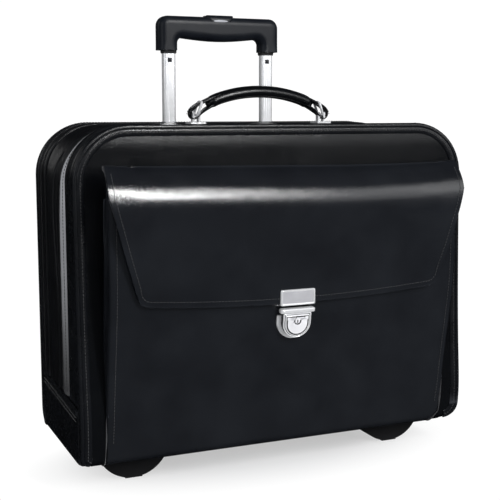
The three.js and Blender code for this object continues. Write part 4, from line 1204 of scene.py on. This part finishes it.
def sleeve():
    """The laptop sleeve: a quilted tray against the divider, with a strap over its top."""
    half, radius = 188.0, 9.0
    inner = np.linspace(half - radius, 0, 24)[1:]
    grid = []
    for z in np.concatenate([[9.2, 11, 14], np.linspace(20, 252, 22), [257, 260, 261.6]]):
        end = float(smoothstep(22, 9, z) + smoothstep(250, 262, z))
        side = [(half, 83.2), (half, 76), (half, 68)] + arc((half - radius, 54.4 + radius), radius, 0, -90, 6)
        quilt = 0.5 * np.cos(inner / 23.5 * math.pi) ** 2 * math.cos(z / 31 * math.pi) ** 2
        side += [(x, 54.6 - q) for x, q in zip(inner, quilt)]
        side = [(x - 1.1 * end, y + 1.1 * end) for x, y in side]
        grid.append([(-x, y, z) for x, y in side] + [(x, y, z) for x, y in reversed(side[:-1])])
    pad = sheet(grid, 3.8, (0, -1, 0))
    points, faces, kinds = slab(np.array([(-184, 84), (-184, 60), (184, 60), (184, 84)]), 9.4, 12.8, 0.5)
    sole = (points[:, [0, 2, 1]], faces, kinds)
    made = piece("laptop_sleeve_pad", "middle_section", [pad, sole], [pad_cloth], ["laptop_sleeve"])
    over = spline([(83.4, 296), (80, 290), (70, 270), (60, 264.8), (53.4, 263), (51, 259), (50.9, 226)], 120)
    strap = [[(x, y, z) for x in (-22, -19, -12, 0, 12, 19, 22)] for y, z in even(over, 60)]
    piece("sleeve_closure", "middle_section", [sheet(strap, 1.5, (0, -1, 1))], [tape_cloth],
          ["sleeve_strap"])


# ---- Wheels and the grip ----


def wheels():
    """Rubber tyres on spoked hubs."""
    tread = [(21.6, 11), (25.6, 12), (27.2, 11), (27.9, 8), (27.9, 5), (27.4, 4.2), (27.4, 3.2), (27.9, 2.4)]
    tyre = [(r, -h) for r, h in tread] + [(28, 0)] + tread[::-1]
    rim = [(17.6, -10.2), (21.2, -10.6), (21.4, -9.6), (21.4, 9.6), (21.2, 10.6), (17.6, 10.2),
           (17.0, 8.8), (17.0, -8.8)]
    core = [(3.5, -12), (7.2, -12), (8, -11), (8, 11), (7.2, 12), (3.5, 12)]
    for name, side in SIDES:
        centre = np.array((side * 162.5, 152.0, -0.5))
        piece(f"tyre_{name}", f"wheel_{name}", [turned(tyre, centre)], [rubber], [f"wheel_tyre_{name}"])
        parts = [turned(rim, centre), turned(core, centre, steps=32)]
        for angle in np.arange(6) / 6 * 2 * math.pi:
            way = np.array([0, math.cos(angle), math.sin(angle)])
            path = [centre + way * r for r in (7.4, 10, 14, 17.5)]
            side_on = np.cross(way, (1, 0, 0))
            parts.append(sweep(path, rounded(7.6, 2.0, 1.0, 2), side_on, (1.0, 0.92, 0.92, 1.05)))
        piece(f"hub_{name}", f"wheel_{name}", parts, [hub_plastic], [f"wheel_hub_{name}"])


def grip_outline(drop):
    """The grip seen from the front, anticlockwise: two legs and a bar with a shallow belly.

    Its legs run on down by the drop. Returned with how many points come before the middle of the top.
    """
    half, inner, shoulder, fillet, top, under = 73.0, 51.0, 11.0, 6.0, 449.0, 425.0
    side = [(half, LEG_FOOT - drop), (half, 420.0), (half, 430.0)]
    side += arc((half - shoulder, top - shoulder), shoulder, 0, 90, 8)
    side += [(50.0, top), (34.0, top), (18.5, top)]
    below = [(inner, LEG_FOOT - drop), (inner, 414.0)]
    below += arc((inner - fillet, under - fillet), fillet, 0, 90, 8)
    below += [(x, under - 3.2 * math.cos(x / 45 * math.pi / 2)) for x in (38.0, 30.0, 20.0, 10.0)]
    belly = [(-x, z) for x, z in below] + [(0.0, under - 3.2)] + below[::-1]
    return np.array(side + mirror(side) + belly), len(side)


def grip_shell():
    """The moulded grip, rounded all along, with a recess in its top and front for the push button."""
    front, back, recess_floor = 162.6, 182.6, 436.4
    outline, last = grip_outline(9.5)

    def ring_at(y, distance, floor=math.inf):
        """One ring of the shell, its top cut down to the floor between the recess's sides."""
        ring = inset(outline, distance)
        ring[:, 1] = np.maximum(ring[:, 1], LEG_FOOT)
        top = ring[last - 1, 1]
        low = min(floor, top)
        half = float(np.interp(y, (163.0, 164.2, 165.8, 167.4), (12.0, 14.0, 16.2, 17.3)))
        notch = [(half, top), (half, low), (-half, low), (-half, top)]
        return upright(np.concatenate([ring[:last], notch, ring[last:]]), y)

    round_front = [(front + 6.4 * (1 - math.sin(a)), 8.4 * (1 - math.cos(a)))
                   for a in np.radians((90, 77, 71, 58, 42, 26, 12, 0))]
    round_back = [(back - 4.4 * (1 - math.sin(a)), 5.0 * (1 - math.cos(a)))
                  for a in np.radians((20, 40, 60, 80, 90))]
    recess = round_front[2:] + [(TUBE_Y, 0.0), (178.2, 0.0)]
    rings = [ring_at(y, distance) for y, distance in [(front, 9.4)] + round_front[:3]]
    rings += [ring_at(y, distance, recess_floor) for y, distance in recess]
    rings += [ring_at(y, distance) for y, distance in recess[-1:] + round_back + [(back, 6.5)]]
    piece("grip_shell", "trolley_top", [loft(rings)], [grip_plastic], ["grip"], angle=50)


def release_button():
    """The push button, which laps forward over the grip's shoulder and carries a pale oval, a painted
    highlight.
    """
    # Each section: its y, half width, lower and upper height, and corner radius.
    sections = ((163.3, 9.6, 443.2, 445.4, 0.9), (163.4, 11.2, 442.4, 446.6, 1.6),
                (164.3, 13.2, 442.0, 448.6, 2.0), (165.6, 15.4, 441.4, 450.2, 1.6),
                (167.2, 16.6, 440.6, 451.0, 1.4), (169.5, 16.7, 440.4, 450.7, 1.3),
                (172.6, 16.7, 440.4, 450.3, 1.3), (176.4, 16.7, 440.4, 450.9, 1.3),
                (177.6, 16.4, 440.7, 450.4, 1.2), (177.9, 15.6, 441.6, 449.4, 1.0))
    rings = [upright(rounded(half, (high - low) / 2, radius, 5) + (0, (high + low) / 2), y)
             for y, half, low, high, radius in sections]
    piece("release_thumb_button", "trolley_release", [loft(rings)], [grip_plastic],
          ["release_button"], angle=50)
    # The pale oval is a painted highlight on the button's front.
    oval = circle(1, 32) * (8.8, 1.3) + (0, 444.4)
    piece("button_painted_highlight", "trolley_release", [slab(oval, 164.0, 163.05, 0.3)], [painted_highlight_plastic])


def grip():
    """The grip and its button, collars where its legs meet the tubes, and stop pins in the tubes' holes."""
    grip_shell()
    release_button()
    collars, pins = [], []
    for _, side in SIDES:
        rings = []
        for z, grow in ((407.4, 0.2), (407.8, 0.9), (410.2, 1.2), (410.8, 0.8)):
            rings.append(level(rounded(7.5 + grow, 4.5 + grow, 2.0 + grow) + (side * TUBE_X, TUBE_Y), z))
        collars.append(loft(rings))
        pins.append(slab(rounded(2.5, 2.4, 0.5, 3) + (side * TUBE_X, 400.25), 170.0, 167.95, 0.25))
    piece("grip_collars", "trolley_top", collars, [dark_plastic])
    piece("stop_pins", "trolley_top", pins, [grip_plastic])


# ---- Carried-over CAD nodes ----


def dress_nodes():
    """Every CAD node that still shows gets its slot's material, the front feet their own plastic, and the
    listed ones softened edges.
    """
    slots = {row["node"]: row["material_slot"] for row in frame["record"]["subparts"]}
    bevels = {"trolley_bezel": 0.0008}
    for side, _ in SIDES:
        bevels |= {f"handle_bracket_{side}": 0.0004, f"front_foot_{side}": 0.0012}
    for name, slot_name in slots.items():
        shown = bpy.data.objects.get(name)
        if shown is None or shown.hide_render:
            continue
        finish = foot_plastic if name.startswith("front_foot") else FINISHES[slot_name][0]
        if not shown.material_slots:
            shown.data.materials.append(finish)
        for holder in shown.material_slots:
            holder.link = "OBJECT"
            holder.material = finish
        if name in bevels:
            soft = shown.modifiers.new("soft_edges", "BEVEL")
            soft.width = bevels[name]
            soft.segments = 3
            soft.limit_method = "ANGLE"
            soft.angle_limit = math.radians(28)
            soft.harden_normals = True


# ---- Camera, light and floor ----


def add(name, data):
    made = bpy.data.objects.new(name, data)
    bpy.context.scene.collection.objects.link(made)
    return made


def surroundings():
    """White behind the case. Reflections see a bright wall in front, a dim floor, and the dark elsewhere."""
    world = bpy.data.worlds.new("studio")
    bpy.context.scene.world = world
    world.use_nodes = True
    tree = world.node_tree
    for old in list(tree.nodes):
        tree.nodes.remove(old)
    ray = node(tree, "ShaderNodeLightPath").outputs
    way = node(tree, "ShaderNodeTexCoord").outputs["Generated"]
    _, y, z = node(tree, "ShaderNodeSeparateXYZ", {"Vector": way}).outputs
    wall = combine(tree, eased(tree, z, -0.02, 0.16, 0.0, 0.3), eased(tree, z, 0.3, 0.7, 1.0, 0.08))
    both = combine(tree, wall, eased(tree, z, -0.22, -0.1, 0.07, 0.03), "ADD")
    strength = combine(tree, both, eased(tree, y, -0.5, 0.1, 1.0, 0.06))

    def background(colour, strength):
        return node(tree, "ShaderNodeBackground", {"Color": (*colour, 1), "Strength": strength}).outputs[0]

    mirrored, soft, seen = (background(colour, strength) for colour, strength in (
        ((0.9, 0.96, 1.05), strength), ((0.97, 0.99, 1.0), 0.6), ((1, 1, 1), 1.05)))
    lit = node(tree, "ShaderNodeMixShader", {0: ray["Is Glossy Ray"], 1: soft, 2: mirrored}).outputs[0]
    mixed = node(tree, "ShaderNodeMixShader", {0: ray["Is Camera Ray"], 1: lit, 2: seen}).outputs[0]
    node(tree, "ShaderNodeOutputWorld", {"Surface": mixed})


def lights():
    """Each light has its place, the point it aims at, its width, its height and its power."""
    lamps = (("main_softbox", (0.57, -1.92, 1.38), (-0.08, -0.1, 0.29), 0.19, 1.3, 36),
             ("band_softbox", (1.12, -1.92, 1.0), (0.0, -0.1, 0.29), 1.0, 1.4, 3.4),
             ("right_fill", (1.7, -1.3, 1.05), (0.1, -0.1, 0.29), 1.2, 1.1, 5),
             ("front_left_fill", (-1.75, -1.2, 0.9), (-0.2, -0.05, 0.25), 0.7, 1.0, 3),
             ("left_softbox", (-1.5, 1.5, 1.1), (-0.2, 0.0, 0.3), 1.0, 1.0, 2))
    for name, where, aim, width, height, power in lamps:
        lamp = bpy.data.lights.new(name, "AREA")
        lamp.shape = "ELLIPSE"
        lamp.size, lamp.size_y = width, height
        lamp.energy = power
        made = add(name, lamp)
        made.location = where
        made.rotation_euler = (Vector(aim) - Vector(where)).to_track_quat("-Z", "Y").to_euler()


def pale_floor():
    """A disc that takes the case's shadow near it and is pure white farther out."""
    made, tree, shader = material("pale_floor")
    shader.inputs["Base Color"].default_value = (0.86, 0.86, 0.87, 1)
    shader.inputs["Roughness"].default_value = 0.7
    oval = coordinates(tree, (0.5, 1.0, 1.0))
    away = node(tree, "ShaderNodeVectorMath", {0: oval}, operation="LENGTH").outputs["Value"]
    far = eased(tree, away, 0.05, 0.15, 0.46)
    glow = node(tree, "ShaderNodeEmission", {"Color": (1, 1, 1, 1), "Strength": 1.05}).outputs[0]
    surface = node(tree, "ShaderNodeMixShader", {0: far, 1: shader.outputs[0], 2: glow}).outputs[0]
    tree.links.new(surface, tree.nodes["Material Output"].inputs["Surface"])
    size = 48
    spots = [(0, 0, 0)]
    for radius in (1.0, 4.0, 40.0):
        spots += [(x, y, 0) for x, y in circle(radius, size)]
    faces = [(0, 1 + i, 1 + (i + 1) % size) for i in range(size)]
    for start in (1, 1 + size):
        for i in range(size):
            n = (i + 1) % size
            faces.append((start + i, start + size + i, start + size + n, start + n))
    mesh = bpy.data.meshes.new("floor")
    mesh.from_pydata(spots, [], faces)
    mesh.materials.append(made)
    ground = add("floor", mesh)
    ground.visible_glossy = False


def studio():
    surroundings()
    lights()
    pale_floor()
    lens = bpy.data.cameras.new("camera")
    lens.lens, lens.sensor_width = 73.912, 36.0
    camera = add("camera", lens)
    camera.location = (-0.44342, -1.01341, 0.37405)
    camera.rotation_euler = (math.radians(90 - 7.829), 0, math.radians(-23.408))
    bpy.context.scene.camera = camera
    bpy.context.scene.view_settings.view_transform = "Standard"


studio()
front_rows = [front_panel()]
front_section()
middle_rows = middle_section()
back_rows = back_section()
back_rows += boots()
back_rows += trolley_cover()
front_rows += pocket()
flap_rows = flap()
gussets()
inner_pockets()
divider()
sleeve()
piece("front_stitches", "front_section", front_rows, [thread])
piece("middle_stitches", "middle_section", middle_rows, [thread])
piece("back_stitches", "case_back", back_rows, [thread])
piece("flap_stitches", "pocket_flap", [flap_rows], [thread])
lock()
zips()
handle()
wheels()
grip()
dress_nodes()
